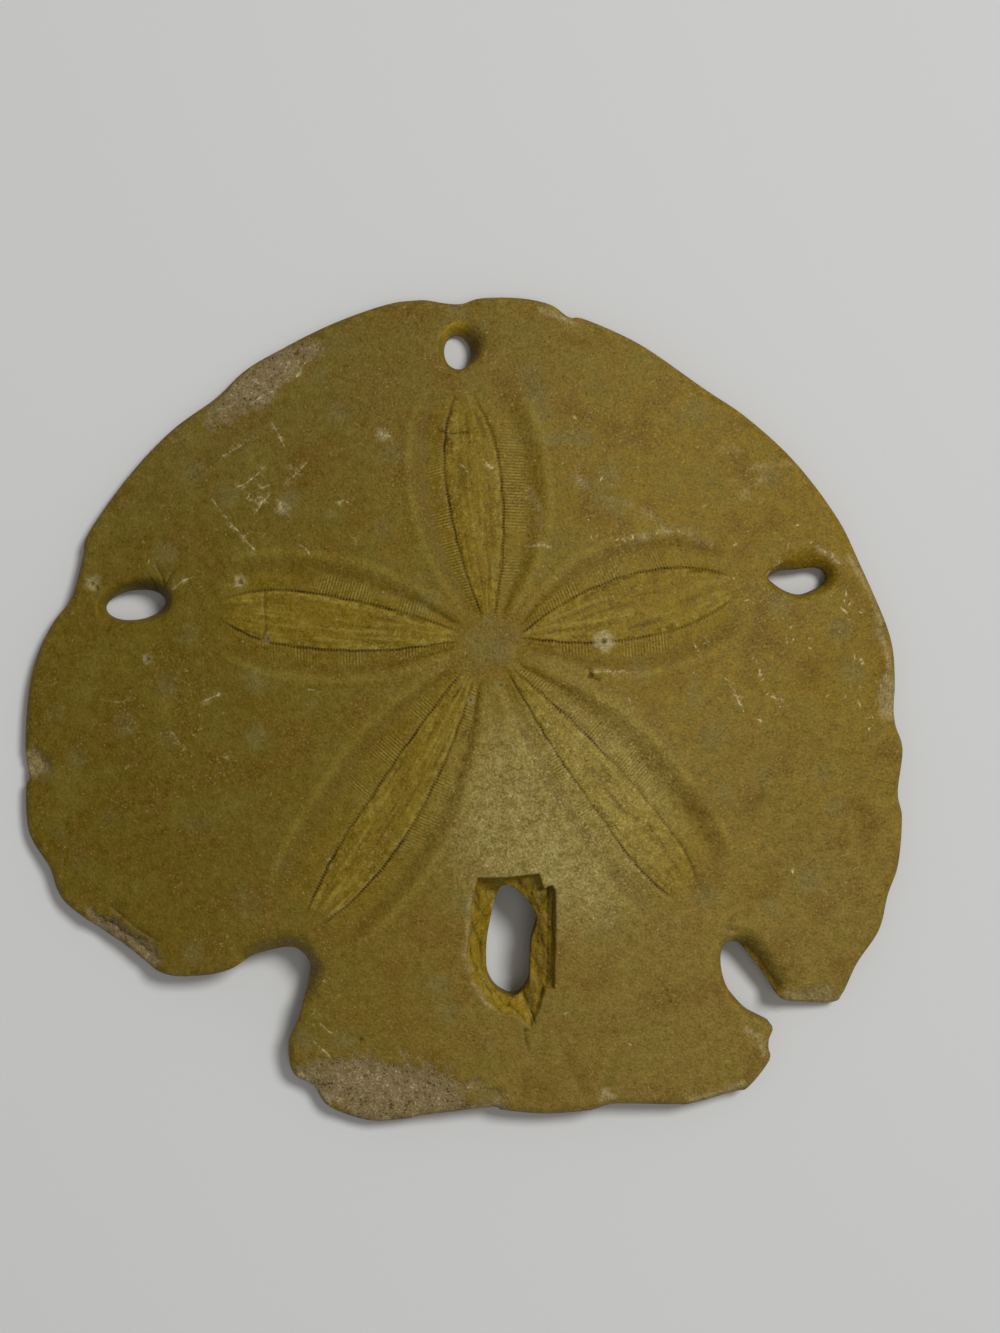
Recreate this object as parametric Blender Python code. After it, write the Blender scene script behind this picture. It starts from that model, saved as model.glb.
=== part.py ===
"""Sand dollar: the bare test of a keyhole sand dollar, one thin hard plate that grew as a single piece.

The flat underside rests on z = 0 and +Z is up. Seen from above, +Y is the front end and +X the right.
Lengths below are millimetres, and the finished mesh is made in metres.
"""
import math

import bmesh
import bpy
import numpy as np
from mathutils import Vector
from mathutils.geometry import delaunay_2d_cdt
from mathutils.kdtree import KDTree

MM = 0.001

# Domed upper side
PEAK = (5.4, -6.0)
PEAK_HEIGHT = 10.6
SIDE_THICKNESS = 2.5
BACK_THICKNESS = 3.5
DOME_POWER = 1.75

# Worn margin: the rounding takes a share of the local thickness, up to a limit
ROUND_SHARE = 0.5
ROUND_LEAST = 1.0
ROUND_MOST = 2.4
TOP_DROP_SHARE = 0.45
TOP_DROP_MOST = 1.8
UNDER_RISE_SHARE = 0.25
UNDER_RISE_MOST = 0.7

# Outline, anticlockwise from the front notch, through the left side, the two open back slots and the
# broken right lobe. The sharp turns at the back are breaks.
OUTLINE = [
    (3.5, 45.9), (1.6, 46.1), (-1.3, 46.7), (-5.3, 46.4), (-11.6, 44.6), (-18.3, 41.8), (-21.9, 39.9),
    (-25.1, 37.2), (-30.5, 33.8), (-35.8, 28.9), (-40.7, 22.9), (-41.6, 20.1), (-43.1, 15.7),
    (-45.4, 13.0), (-47.5, 9.4), (-48.9, 4.9), (-49.7, -1.6), (-49.4, -4.6), (-49.9, -5.6),
    (-49.9, -10.8), (-47.8, -14.9), (-47.1, -17.5), (-45.6, -19.7), (-39.9, -24.2), (-35.8, -27.6),
    (-31.8, -28.4), (-28.1, -28.0), (-25.3, -26.7), (-21.8, -26.0), (-20.4, -26.2), (-19.2, -28.2),
    (-20.6, -33.3), (-21.9, -36.4), (-21.7, -40.1), (-19.5, -41.7), (-18.1, -44.1), (-13.7, -46.1),
    (-9.2, -46.2), (-7.2, -45.9), (0.7, -45.4), (1.5, -45.8), (6.6, -46.6), (11.2, -46.6),
    (12.5, -46.4), (14.7, -46.0), (21.2, -46.6), (23.0, -46.7), (28.2, -45.7), (29.8, -45.4),
    (32.4, -42.5), (32.6, -41.1), (33.0, -40.2), (33.3, -39.2), (32.8, -38.5), (31.9, -38.1),
    (31.0, -37.3), (30.1, -36.2), (28.5, -33.4), (28.1, -31.8), (28.2, -30.2), (28.7, -29.3),
    (29.5, -29.0), (30.6, -29.4), (31.4, -30.2), (34.0, -34.6), (34.4, -35.9), (36.4, -36.5),
    (40.3, -36.9), (41.9, -35.5), (43.4, -32.6), (46.0, -28.6), (47.3, -24.6), (48.7, -21.3),
    (49.5, -16.0), (49.2, -13.1), (50.1, -8.2), (49.4, -4.9), (49.8, -0.3), (49.5, 5.1),
    (46.6, 13.5), (44.4, 18.8), (40.2, 25.2), (35.1, 30.6), (30.1, 34.5), (23.5, 39.8),
    (17.5, 43.1), (15.6, 43.5), (13.6, 45.1), (10.2, 46.1), (5.8, 46.4),
]

# Closed slots through the plate: each opens upwards in a slope that is widest on one side
FRONT_SLOT = {"centre": (2.6, 40.5), "half_size": (1.5, 2.0), "turn": 4.0,
              "slope": (0.6, 3.0), "widest_toward": 40.0}
LEFT_SLOT = {"centre": (-36.0, 14.3), "half_size": (3.5, 1.7), "turn": 3.0,
             "slope": (0.6, 1.7), "widest_toward": 35.0}
RIGHT_SLOT = {"points": [(36.1, 12.3), (36.9, 11.4), (38.1, 10.6), (39.4, 10.2), (40.9, 10.5),
                         (42.2, 11.1), (42.8, 12.0), (42.5, 12.8), (41.4, 13.2), (39.7, 13.1),
                         (37.9, 13.1), (36.8, 12.8)],
              "slope": (0.6, 2.6), "widest_toward": 65.0}
BACK_SLOT = {"points": [(3.9, -20.8), (3.1, -21.8), (2.2, -23.8), (1.5, -26.1), (1.1, -28.2),
                        (1.1, -30.4), (1.9, -32.3), (3.6, -33.5), (4.6, -33.3), (5.7, -31.4),
                        (6.1, -29.2), (6.6, -26.7), (7.2, -24.6), (6.5, -22.8), (5.1, -21.2)],
             "slope": (0.5, 0.5), "widest_toward": 0.0}
SLOTS = [FRONT_SLOT, LEFT_SLOT, RIGHT_SLOT, BACK_SLOT]
SLOPE_SHARE = 0.42

# The back slot's upper rim has broken away: an angular pit with a steep edge that slopes to the slot
BREAK = [(0.8, -19.2), (-0.2, -22.1), (-0.7, -24.9), (-1.1, -27.8), (-0.6, -30.6), (0.5, -32.7),
         (2.1, -34.4), (4.6, -35.1), (5.6, -36.5), (6.9, -34.0), (7.5, -31.5), (8.4, -32.2),
         (9.2, -25.6), (9.6, -21.7), (9.2, -20.7), (8.2, -21.0), (7.7, -19.3), (3.9, -19.6)]
BREAK_STEP = 1.3
BREAK_STEP_WIDTH = 0.4
BREAK_FALL = 0.75
BREAK_FLOOR = 3.2

# Petals: the leaf between the two pore lines runs from base to tip, bowed to its left by "bow".
# "half" is the leaf's half width at its base, its widest place and its tip, and "bands" the width of
# the sunk pore band on its left and right.
PETALS = {
    "front": {"base": (4.0, 10.4), "tip": (3.0, 35.4), "bow": -0.1, "half": (0.8, 3.1, 0.9),
              "widest_at": 0.62, "bands": (3.3, 4.6)},
    "front_right": {"base": (8.0, 7.7), "tip": (32.1, 11.6), "bow": 0.3, "half": (0.4, 3.6, 1.0),
                    "widest_at": 0.58, "bands": (3.5, 3.3)},
    "front_left": {"base": (0.1, 8.1), "tip": (-26.2, 13.1), "bow": 0.2, "half": (0.7, 3.1, 0.9),
                   "widest_at": 0.66, "bands": (2.6, 3.6)},
    "back_left": {"base": (1.1, 3.2), "tip": (-17.8, -22.6), "bow": 0.8, "half": (0.9, 2.8, 1.0),
                  "widest_at": 0.60, "bands": (3.6, 4.6)},
    "back_right": {"base": (6.3, 3.5), "tip": (24.4, -22.7), "bow": 0.2, "half": (0.4, 2.7, 1.4),
                   "widest_at": 0.76, "bands": (4.4, 3.0)},
}
LEAF_RISE = 0.22
PORE_DEPTH = 0.45
PORE_HALF_WIDTH = 0.35
BAND_DEPTH = 0.5
BAND_START_SHARE = 0.3
HALO_RISE = 0.16
HALO_DISTANCE = 0.8
HALO_HALF_WIDTH = 0.6
PETAL_END_FADE = 0.05

# Raised plate where the petals meet
DISC_CENTRE = (4.1, 7.1)
DISC_RADIUS = 3.2
DISC_RISE = 0.25

# Places where the outer skin has flaked off: chips at the margin, and the rough patch on the back lobe
FLAKES = [
    {"centre": (-9.6, -42.0), "half_size": (10.0, 4.2), "turn": -9.0, "depth": 0.55},
    {"centre": (-39.6, -23.9), "half_size": (6.5, 1.7), "turn": -36.0, "depth": 0.8},
    {"centre": (-48.6, -2.8), "half_size": (1.6, 2.2), "turn": 0.0, "depth": 0.9},
    {"centre": (38.0, -36.3), "half_size": (4.0, 1.7), "turn": -4.0, "depth": 0.9},
    {"centre": (49.0, -2.2), "half_size": (1.3, 3.0), "turn": 0.0, "depth": 0.5},
]

# Underside: mouth, vent, and food grooves that fork from the mouth towards the margin
MOUTH = (4.0, 2.5)
MOUTH_RADIUS = 2.4
MOUTH_DEPTH = 1.6
VENT = (4.4, -17.2)
VENT_RADIUS = 1.2
VENT_DEPTH = 0.8
GROOVE_BEARINGS = (90.0, 16.0, 164.0, 237.0, 303.0)
GROOVE_REACHES = (34.0, 36.0, 40.0, 33.0, 36.0)
GROOVE_TRUNK = 6.5
GROOVE_SPREAD = 17.0
GROOVE_TWIG_STARTS = (0.38, 0.66)
GROOVE_TWIG_TURN = 30.0
GROOVE_TWIG_LENGTH = 9.0
GROOVE_BOW = 3.0
GROOVE_HALF_WIDTH = 0.8
GROOVE_DEPTH = 0.45

# Point spacing
MARGIN_STEP = 1.7
SLOT_STEP = 1.15
TOP_STEP = 2.5
UNDER_STEP = 4.0
GROOVE_STEP = 1.8
PETAL_ROWS = 18
FLAKE_RINGS = ((1.0, 12), (0.55, 7), (0.0, 1))
LEAST_GAP = 0.5

COLOUR = (0.185, 0.125, 0.030, 1.0)
ROUGHNESS = 0.55


def clear_scene():
    for item in list(bpy.data.objects):
        bpy.data.objects.remove(item, do_unlink=True)


def smooth_loop(points, step):
    """Closed smooth curve that keeps the given points, cut into steps of about the given length."""
    points = np.array(points, float)
    count = len(points)
    curve = []
    for i in range(count):
        before, start, end, after = (points[(i + k) % count] for k in (-1, 0, 1, 2))
        parts = max(1, round(np.linalg.norm(end - start) / step))
        for t in np.arange(parts) / parts:
            curve.append(0.5 * (2 * start + (end - before) * t
                                + (2 * before - 5 * start + 4 * end - after) * t ** 2
                                + (3 * start - before - 3 * end + after) * t ** 3))
    return np.array(curve)


def turned(points, turn):
    c = math.cos(math.radians(turn))
    s = math.sin(math.radians(turn))
    return np.stack([points[:, 0] * c - points[:, 1] * s, points[:, 0] * s + points[:, 1] * c], axis=1)


def ellipse_loop(centre, half_size, turn, step):
    around = math.pi * (half_size[0] + half_size[1])
    angles = np.arange(0, 2 * math.pi, 2 * math.pi / round(around / step))
    x = half_size[0] * np.cos(angles)
    y = half_size[1] * np.sin(angles)
    return np.array(centre) + turned(np.stack([x, y], axis=1), turn)


def slot_loop(slot):
    if "points" in slot:
        return smooth_loop(slot["points"], SLOT_STEP)
    return ellipse_loop(slot["centre"], slot["half_size"], slot["turn"], SLOT_STEP)


def signed_area(loop):
    after = np.roll(loop, -1, axis=0)
    return 0.5 * float(np.sum(loop[:, 0] * after[:, 1] - loop[:, 1] * after[:, 0]))


def facing_material(loop, is_outline):
    """The loop in the direction that keeps the plate on its left."""
    return loop if (signed_area(loop) > 0) == is_outline else loop[::-1]


def inside(points, loop):
    ax, ay = loop[:, 0], loop[:, 1]
    bx, by = np.roll(loop, -1, axis=0).T
    x, y = points[:, :1], points[:, 1:]
    crosses = (ay > y) != (by > y)
    height = np.where(by == ay, 1.0, by - ay)
    return (crosses & (x < ax + (y - ay) * (bx - ax) / height)).sum(axis=1) % 2 == 1


def distance_to_line(points, line, closed):
    ends = np.roll(line, -1, axis=0) if closed else line[1:]
    starts = line if closed else line[:-1]
    along = ends - starts
    lengths = np.maximum((along ** 2).sum(axis=1), 1e-12)
    best = np.full(len(points), np.inf)
    for start, step, length in zip(starts, along, lengths):
        t = np.clip((points - start) @ step / length, 0, 1)
        best = np.minimum(best, np.linalg.norm(points - start - t[:, None] * step, axis=1))
    return best


def offset_ring(loop, distance):
    """Points moved off the loop into the plate."""
    along = np.roll(loop, -1, axis=0) - np.roll(loop, 1, axis=0)
    along /= np.linalg.norm(along, axis=1)[:, None]
    return loop + distance * np.stack([-along[:, 1], along[:, 0]], axis=1)


OUTLINE_LOOP = smooth_loop(OUTLINE, MARGIN_STEP)
OUTLINE_LOOP -= (OUTLINE_LOOP.min(axis=0) + OUTLINE_LOOP.max(axis=0)) / 2
OUTLINE_LOOP = facing_material(OUTLINE_LOOP, True)
SLOT_LOOPS = [facing_material(slot_loop(slot), False) for slot in SLOTS]
LOOPS = [OUTLINE_LOOP] + SLOT_LOOPS
BREAK_LOOP = facing_material(np.array(BREAK), True)


def reach_from_peak():
    """How far the plate reaches from its peak in each direction, with the open slots bridged over."""
    offset = OUTLINE_LOOP - PEAK
    bearings = np.degrees(np.arctan2(offset[:, 1], offset[:, 0]))
    radii = np.linalg.norm(offset, axis=1)
    grid = np.arange(0, 360, 5)
    away = np.abs((grid[:, None] - bearings + 180) % 360 - 180)
    bridged = np.where(away < 15, radii, 0).max(axis=1)
    near = np.abs((grid[:, None] - grid + 180) % 360 - 180)
    weight = np.exp(-(near / 12.0) ** 2)
    return grid, (weight @ bridged) / weight.sum(axis=1)


REACH_BEARINGS, REACH = reach_from_peak()


def dome(points):
    """Height of the worn dome before any slot, petal or break is taken out of it."""
    offset = points - PEAK
    bearing = np.arctan2(offset[:, 1], offset[:, 0])
    reach = np.interp(np.degrees(bearing), REACH_BEARINGS, REACH, period=360)
    share = np.clip(np.linalg.norm(offset, axis=1) / reach, 0, 1)
    backward = np.clip(-np.sin(bearing), 0, 1) ** 2
    margin = SIDE_THICKNESS + (BACK_THICKNESS - SIDE_THICKNESS) * backward
    return margin + (PEAK_HEIGHT - margin) * (1 - share ** DOME_POWER)


def edge_distance(points):
    return np.min([distance_to_line(points, loop, True) for loop in LOOPS], axis=0)


def rounding(points):
    """1 at the very edge of the plate, 0 where the rounding of its margin ends, as a quarter circle."""
    width = np.clip(ROUND_SHARE * dome(points), ROUND_LEAST, ROUND_MOST)
    away = 1 - np.clip(edge_distance(points) / width, 0, 1)
    return 1 - np.sqrt(1 - away ** 2)


def slot_slope(points):
    """Depth of the slopes that lead down into the closed slots."""
    depth = np.zeros(len(points))
    for slot, loop in zip(SLOTS, SLOT_LOOPS):
        offset = points - loop.mean(axis=0)
        bearing = np.arctan2(offset[:, 1], offset[:, 0])
        toward = 0.5 + 0.5 * np.cos(bearing - math.radians(slot["widest_toward"]))
        narrow, wide = slot["slope"]
        width = narrow + (wide - narrow) * toward ** 2
        away = 1 - np.clip(distance_to_line(points, loop, True) / width, 0, 1)
        depth = np.maximum(depth, SLOPE_SHARE * dome(points) * away ** 2)
    return depth


def break_depth(points):
    within = np.where(inside(points, BREAK_LOOP), distance_to_line(points, BREAK_LOOP, True), 0)
    step = BREAK_STEP * np.clip(within / BREAK_STEP_WIDTH, 0, 1)
    return np.minimum(step + BREAK_FALL * within, np.maximum(dome(points) - BREAK_FLOOR, 0))


def flake_depth(points):
    depth = np.zeros(len(points))
    for flake in FLAKES:
        local = turned(points - np.array(flake["centre"]), -flake["turn"]) / np.array(flake["half_size"])
        away = np.linalg.norm(local, axis=1)
        depth = np.maximum(depth, flake["depth"] * np.clip(2 * (1 - away), 0, 1))
    return depth


def petal_axes(petal):
    base = np.array(petal["base"])
    along = np.array(petal["tip"]) - base
    length = np.linalg.norm(along)
    along /= length
    return base, along, np.array([-along[1], along[0]]), length


def leaf_half_width(t, petal):
    start, widest, end = petal["half"]
    at = petal["widest_at"]
    opening = start + (widest - start) * (1 - (1 - np.clip(t / at, 0, 1)) ** 2)
    closing = end + (widest - end) * (1 - np.clip((t - at) / (1 - at), 0, 1) ** 2.2)
    return np.where(t < at, opening, closing)


def band_width(t, widest):
    return widest * (BAND_START_SHARE + (1 - BAND_START_SHARE) * np.sin(math.pi / 2 * np.clip(2 * t, 0, 1)))


def petal_point(petal, t, across):
    base, along, left, length = petal_axes(petal)
    sideways = petal["bow"] * math.sin(math.pi * t) + across
    return base + along * (length * t) + left * sideways


def petal_relief(points):
    """Raised leaves, sunk pore lines and bands, and the faint ridge round each petal."""
    relief = np.zeros(len(points))
    for petal in PETALS.values():
        base, along, left, length = petal_axes(petal)
        t = (points - base) @ along / length
        across = (points - base) @ left - petal["bow"] * np.sin(math.pi * np.clip(t, 0, 1))
        half = leaf_half_width(t, petal)
        beyond = np.abs(across) - half
        band = band_width(t, np.where(across > 0, petal["bands"][0], petal["bands"][1]))
        leaf = np.where(beyond < 0, LEAF_RISE * (1 - (across / half) ** 2), 0)
        pores = PORE_DEPTH * np.exp(-(beyond / PORE_HALF_WIDTH) ** 2)
        sunk = BAND_DEPTH * np.sin(math.pi * np.clip(beyond / band, 0, 1))
        halo = HALO_RISE * np.exp(-((beyond - band - HALO_DISTANCE) / HALO_HALF_WIDTH) ** 2)
        fade = np.clip(np.minimum(t, 1 - t) / PETAL_END_FADE + 1, 0, 1)
        this = (leaf - pores - sunk + halo) * fade
        relief = np.where(np.abs(this) > np.abs(relief), this, relief)
    return relief


def disc_relief(points):
    away = np.linalg.norm(points - np.array(DISC_CENTRE), axis=1) / DISC_RADIUS
    return DISC_RISE * np.clip(2 * (1 - away), 0, 1)


def upper_height(points):
    thickness = dome(points)
    drop = np.minimum(TOP_DROP_SHARE * thickness, TOP_DROP_MOST) * rounding(points)
    broken = break_depth(points)
    drop = np.where(broken > 0, broken, np.maximum(drop, slot_slope(points)))
    return thickness - drop - flake_depth(points) + petal_relief(points) + disc_relief(points)


def groove_lines():
    """Food grooves as lists of points: five trunks from the mouth, each with two branches and their twigs."""
    mouth = np.array(MOUTH)
    lines = []
    for bearing, reach in zip(GROOVE_BEARINGS, GROOVE_REACHES):
        trunk = np.array([math.cos(math.radians(bearing)), math.sin(math.radians(bearing))])
        fork = mouth + trunk * GROOVE_TRUNK
        lines.append([mouth + trunk * MOUTH_RADIUS, fork])
        for side in (-1, 1):
            heading = math.radians(bearing + side * GROOVE_SPREAD)
            outward = np.array([math.cos(heading), math.sin(heading)])
            bend = np.array([-trunk[1], trunk[0]]) * side
            length = reach - GROOVE_TRUNK
            steps = np.linspace(0, 1, round(length / GROOVE_STEP) + 1)
            branch = [fork + outward * length * t + bend * GROOVE_BOW * math.sin(math.pi * t) for t in steps]
            lines.append(branch)
            for start in GROOVE_TWIG_STARTS:
                root = branch[round(start * len(steps))]
                twig_heading = heading + math.radians(side * GROOVE_TWIG_TURN)
                twig = np.array([math.cos(twig_heading), math.sin(twig_heading)])
                twig_steps = np.linspace(0, 1, round(GROOVE_TWIG_LENGTH / GROOVE_STEP) + 1)
                lines.append([root + twig * GROOVE_TWIG_LENGTH * t for t in twig_steps])
    return [np.array(line) for line in lines]


GROOVES = groove_lines()


def under_height(points):
    """Height of the underside above the surface that it rests on."""
    thickness = dome(points)
    rise = np.minimum(UNDER_RISE_SHARE * thickness, UNDER_RISE_MOST) * rounding(points)
    away = np.min([distance_to_line(points, line, False) for line in GROOVES], axis=0)
    clear_of_edge = np.clip(edge_distance(points) - 2.0, 0, 1)
    rise += GROOVE_DEPTH * np.clip(1 - away / GROOVE_HALF_WIDTH, 0, 1) * clear_of_edge
    for centre, radius, depth in ((MOUTH, MOUTH_RADIUS, MOUTH_DEPTH), (VENT, VENT_RADIUS, VENT_DEPTH)):
        share = np.clip(np.linalg.norm(points - np.array(centre), axis=1) / radius, 0, 1)
        rise = np.maximum(rise, depth * (1 - share ** 2))
    return rise


def in_plate(points, clearance):
    """True for points on the plate at least the given distance from its edges."""
    keep = inside(points, OUTLINE_LOOP)
    for loop in SLOT_LOOPS:
        keep &= ~inside(points, loop)
    return keep & (edge_distance(points) > clearance)


def spread_points(step):
    """An even triangular net of points over the plate's box."""
    low = OUTLINE_LOOP.min(axis=0)
    high = OUTLINE_LOOP.max(axis=0)
    points = []
    for row, y in enumerate(np.arange(low[1], high[1], step * math.sqrt(3) / 2)):
        for x in np.arange(low[0] + (row % 2) * step / 2, high[0], step):
            points.append((x, y))
    return np.array(points)


def add_points(chosen, candidates, gap, clearance=0.25):
    """Chosen points with the candidates that lie on the plate and keep the gap to them."""
    tree = KDTree(len(chosen))
    for i, point in enumerate(chosen):
        tree.insert((point[0], point[1], 0), i)
    tree.balance()
    candidates = candidates[in_plate(candidates, clearance)]
    keep = [point for point in candidates if tree.find((point[0], point[1], 0))[2] >= gap]
    return np.vstack([chosen, np.array(keep).reshape(-1, 2)])


def petal_points(petal):
    points = []
    for t in np.linspace(-0.02, 1.03, PETAL_ROWS + 1):
        half = float(leaf_half_width(t, petal))
        for side, widest in ((1, petal["bands"][0]), (-1, petal["bands"][1])):
            band = float(band_width(t, widest))
            for away in (-0.55, 0.0, 0.5 * band, band, band + HALO_DISTANCE, band + 2 * HALO_DISTANCE):
                if away > -half:
                    points.append(petal_point(petal, t, side * (half + away)))
        points.append(petal_point(petal, t, 0.0))
    return np.array(points)


def circle(centre, radius, count):
    angles = np.arange(count) * 2 * math.pi / count
    return np.array(centre) + radius * np.stack([np.cos(angles), np.sin(angles)], axis=1)


def upper_points():
    """Points of the upper side: the edges of the plate come first, then the broken rim, then the rest."""
    points = np.vstack(LOOPS + [BREAK_LOOP])
    points = add_points(points, offset_ring(BREAK_LOOP, BREAK_STEP_WIDTH), 0.2)
    for loop in SLOT_LOOPS:
        points = add_points(points, offset_ring(loop, 0.5), 0.4)
        points = add_points(points, offset_ring(loop, 1.3), 0.6)
        points = add_points(points, offset_ring(loop, 2.4), 0.8)
    points = add_points(points, offset_ring(OUTLINE_LOOP, 0.4), 0.3)
    for flake in FLAKES:
        for share, number in FLAKE_RINGS:
            size = np.array(flake["half_size"])
            ring = turned(circle((0, 0), share, number) * size, flake["turn"]) + np.array(flake["centre"])
            points = add_points(points, ring, LEAST_GAP)
    for petal in PETALS.values():
        points = add_points(points, petal_points(petal), LEAST_GAP)
    points = add_points(points, circle(DISC_CENTRE, DISC_RADIUS, 10), LEAST_GAP)
    points = add_points(points, circle(DISC_CENTRE, 0.5 * DISC_RADIUS, 6), LEAST_GAP)
    points = add_points(points, offset_ring(OUTLINE_LOOP, 1.4), 1.0)
    return add_points(points, spread_points(TOP_STEP), 0.65 * TOP_STEP)


def under_points():
    """Points of the underside: the edges of the plate come first, in the same order as above."""
    points = np.vstack(LOOPS)
    for loop in LOOPS:
        points = add_points(points, offset_ring(loop, 1.0), 0.8)
    for centre, radius in ((MOUTH, MOUTH_RADIUS), (VENT, VENT_RADIUS)):
        points = add_points(points, circle(centre, radius, 12), LEAST_GAP)
        points = add_points(points, circle(centre, 0.55 * radius, 6), LEAST_GAP)
        points = add_points(points, np.array([centre]), LEAST_GAP)
    for line in GROOVES:
        points = add_points(points, line, LEAST_GAP, 1.2)
    for line in GROOVES:
        along = np.gradient(line, axis=0)
        along /= np.linalg.norm(along, axis=1)[:, None]
        across = np.stack([-along[:, 1], along[:, 0]], axis=1)
        for side in (-1, 1):
            points = add_points(points, line + side * GROOVE_HALF_WIDTH * across, LEAST_GAP, 1.2)
    return add_points(points, spread_points(UNDER_STEP), 0.6 * UNDER_STEP)


def loop_edges(start, count):
    return [(start + i, start + (i + 1) % count) for i in range(count)]


def triangles(points, creases):
    """Triangles over the plate through every point, anticlockwise seen from above."""
    edges = list(creases)
    start = 0
    for loop in LOOPS:
        edges += loop_edges(start, len(loop))
        start += len(loop)
    vectors = [Vector((float(x), float(y))) for x, y in points]
    out, _, faces, origins, _, _ = delaunay_2d_cdt(vectors, edges, [], 1, 1e-6, True)
    if len(out) != len(points):
        raise ValueError("two points of the plate coincide, or two of its edges cross")
    source = [origin[0] for origin in origins]
    faces = np.array([[source[i] for i in face] for face in faces])
    middle = points[faces].mean(axis=1)
    faces = faces[in_plate(middle, 0.0)]
    a, b, c = (points[faces[:, k]] for k in range(3))
    turned = (b[:, 0] - a[:, 0]) * (c[:, 1] - a[:, 1]) < (b[:, 1] - a[:, 1]) * (c[:, 0] - a[:, 0])
    faces[turned] = faces[turned][:, ::-1]
    return faces


def plate_mesh():
    """The closed skin: upper side, underside, and the wall between them round every edge."""
    edge_count = sum(len(loop) for loop in LOOPS)
    upper = upper_points()
    upper_faces = triangles(upper, loop_edges(edge_count, len(BREAK_LOOP)))
    under = under_points()
    under_faces = triangles(under, [])[:, ::-1] + len(upper)
    top = np.column_stack([upper, upper_height(upper)])
    bottom = np.column_stack([under, under_height(under)])
    walls = []
    start = 0
    for loop in LOOPS:
        for i, j in loop_edges(start, len(loop)):
            low_i = i + len(upper)
            low_j = j + len(upper)
            walls += [(j, i, low_i), (j, low_i, low_j)]
        start += len(loop)
    return np.vstack([top, bottom]) * MM, upper_faces.tolist() + under_faces.tolist() + walls


def material(name, colour, roughness):
    result = bpy.data.materials.new(name)
    result.use_nodes = True
    shader = result.node_tree.nodes["Principled BSDF"]
    shader.inputs["Base Color"].default_value = colour
    shader.inputs["Roughness"].default_value = roughness
    shader.inputs["Metallic"].default_value = 0.0
    return result


def make_sand_dollar():
    points, faces = plate_mesh()
    mesh = bpy.data.meshes.new("sand_dollar")
    mesh.from_pydata(points.tolist(), [], faces)
    surface = bmesh.new()
    surface.from_mesh(mesh)
    bmesh.ops.recalc_face_normals(surface, faces=surface.faces)
    surface.to_mesh(mesh)
    surface.free()
    mesh.shade_smooth()
    mesh.set_sharp_from_angle(angle=math.radians(40))
    item = bpy.data.objects.new("sand_dollar", mesh)
    item.data.materials.append(material("fossil_test", COLOUR, ROUGHNESS))
    bpy.context.scene.collection.objects.link(item)
    return item


clear_scene()
make_sand_dollar()
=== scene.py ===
"""Looks of the sand dollar: one fine skin over the plate's solid, its materials, floor, light and camera.

Lengths here are millimetres in the frame of the solid, and meshes are made in metres.
"""
import math

import bpy
import numpy as np
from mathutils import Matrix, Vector, noise
from mathutils.geometry import delaunay_2d_cdt
from mathutils.kdtree import KDTree


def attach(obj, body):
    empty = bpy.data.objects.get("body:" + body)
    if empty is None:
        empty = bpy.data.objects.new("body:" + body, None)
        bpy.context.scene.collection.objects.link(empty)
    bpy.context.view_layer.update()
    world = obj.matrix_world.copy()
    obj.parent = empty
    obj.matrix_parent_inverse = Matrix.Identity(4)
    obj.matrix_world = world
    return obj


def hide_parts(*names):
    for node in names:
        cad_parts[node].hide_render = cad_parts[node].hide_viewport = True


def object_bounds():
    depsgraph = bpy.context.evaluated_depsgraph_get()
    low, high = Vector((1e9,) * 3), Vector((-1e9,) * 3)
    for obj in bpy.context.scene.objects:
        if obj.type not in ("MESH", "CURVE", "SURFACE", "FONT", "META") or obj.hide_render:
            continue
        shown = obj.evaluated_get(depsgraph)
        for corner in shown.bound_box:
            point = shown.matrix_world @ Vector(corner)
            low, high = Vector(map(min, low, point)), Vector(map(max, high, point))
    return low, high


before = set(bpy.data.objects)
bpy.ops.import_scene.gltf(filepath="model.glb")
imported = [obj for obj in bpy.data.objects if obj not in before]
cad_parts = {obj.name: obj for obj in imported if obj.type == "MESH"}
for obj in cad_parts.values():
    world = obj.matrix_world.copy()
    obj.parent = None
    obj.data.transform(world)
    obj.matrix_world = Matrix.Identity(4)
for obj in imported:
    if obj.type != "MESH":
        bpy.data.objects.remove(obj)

MM = 0.001
CAD_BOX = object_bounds()
CAD_TOP = CAD_BOX[1].z / MM

# Form of the plate, as in the solid
PEAK = (5.4, -6.0)
PEAK_HEIGHT = 10.6
SIDE_THICKNESS = 2.5
BACK_THICKNESS = 3.5
DOME_POWER = 1.75
ROUND_SHARE = 0.3
ROUND_LEAST = 0.5
ROUND_MOST = 1.1
TOP_DROP_SHARE = 0.3
TOP_DROP_MOST = 0.9
UNDER_RISE_SHARE = 0.25
UNDER_RISE_MOST = 0.7

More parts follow.
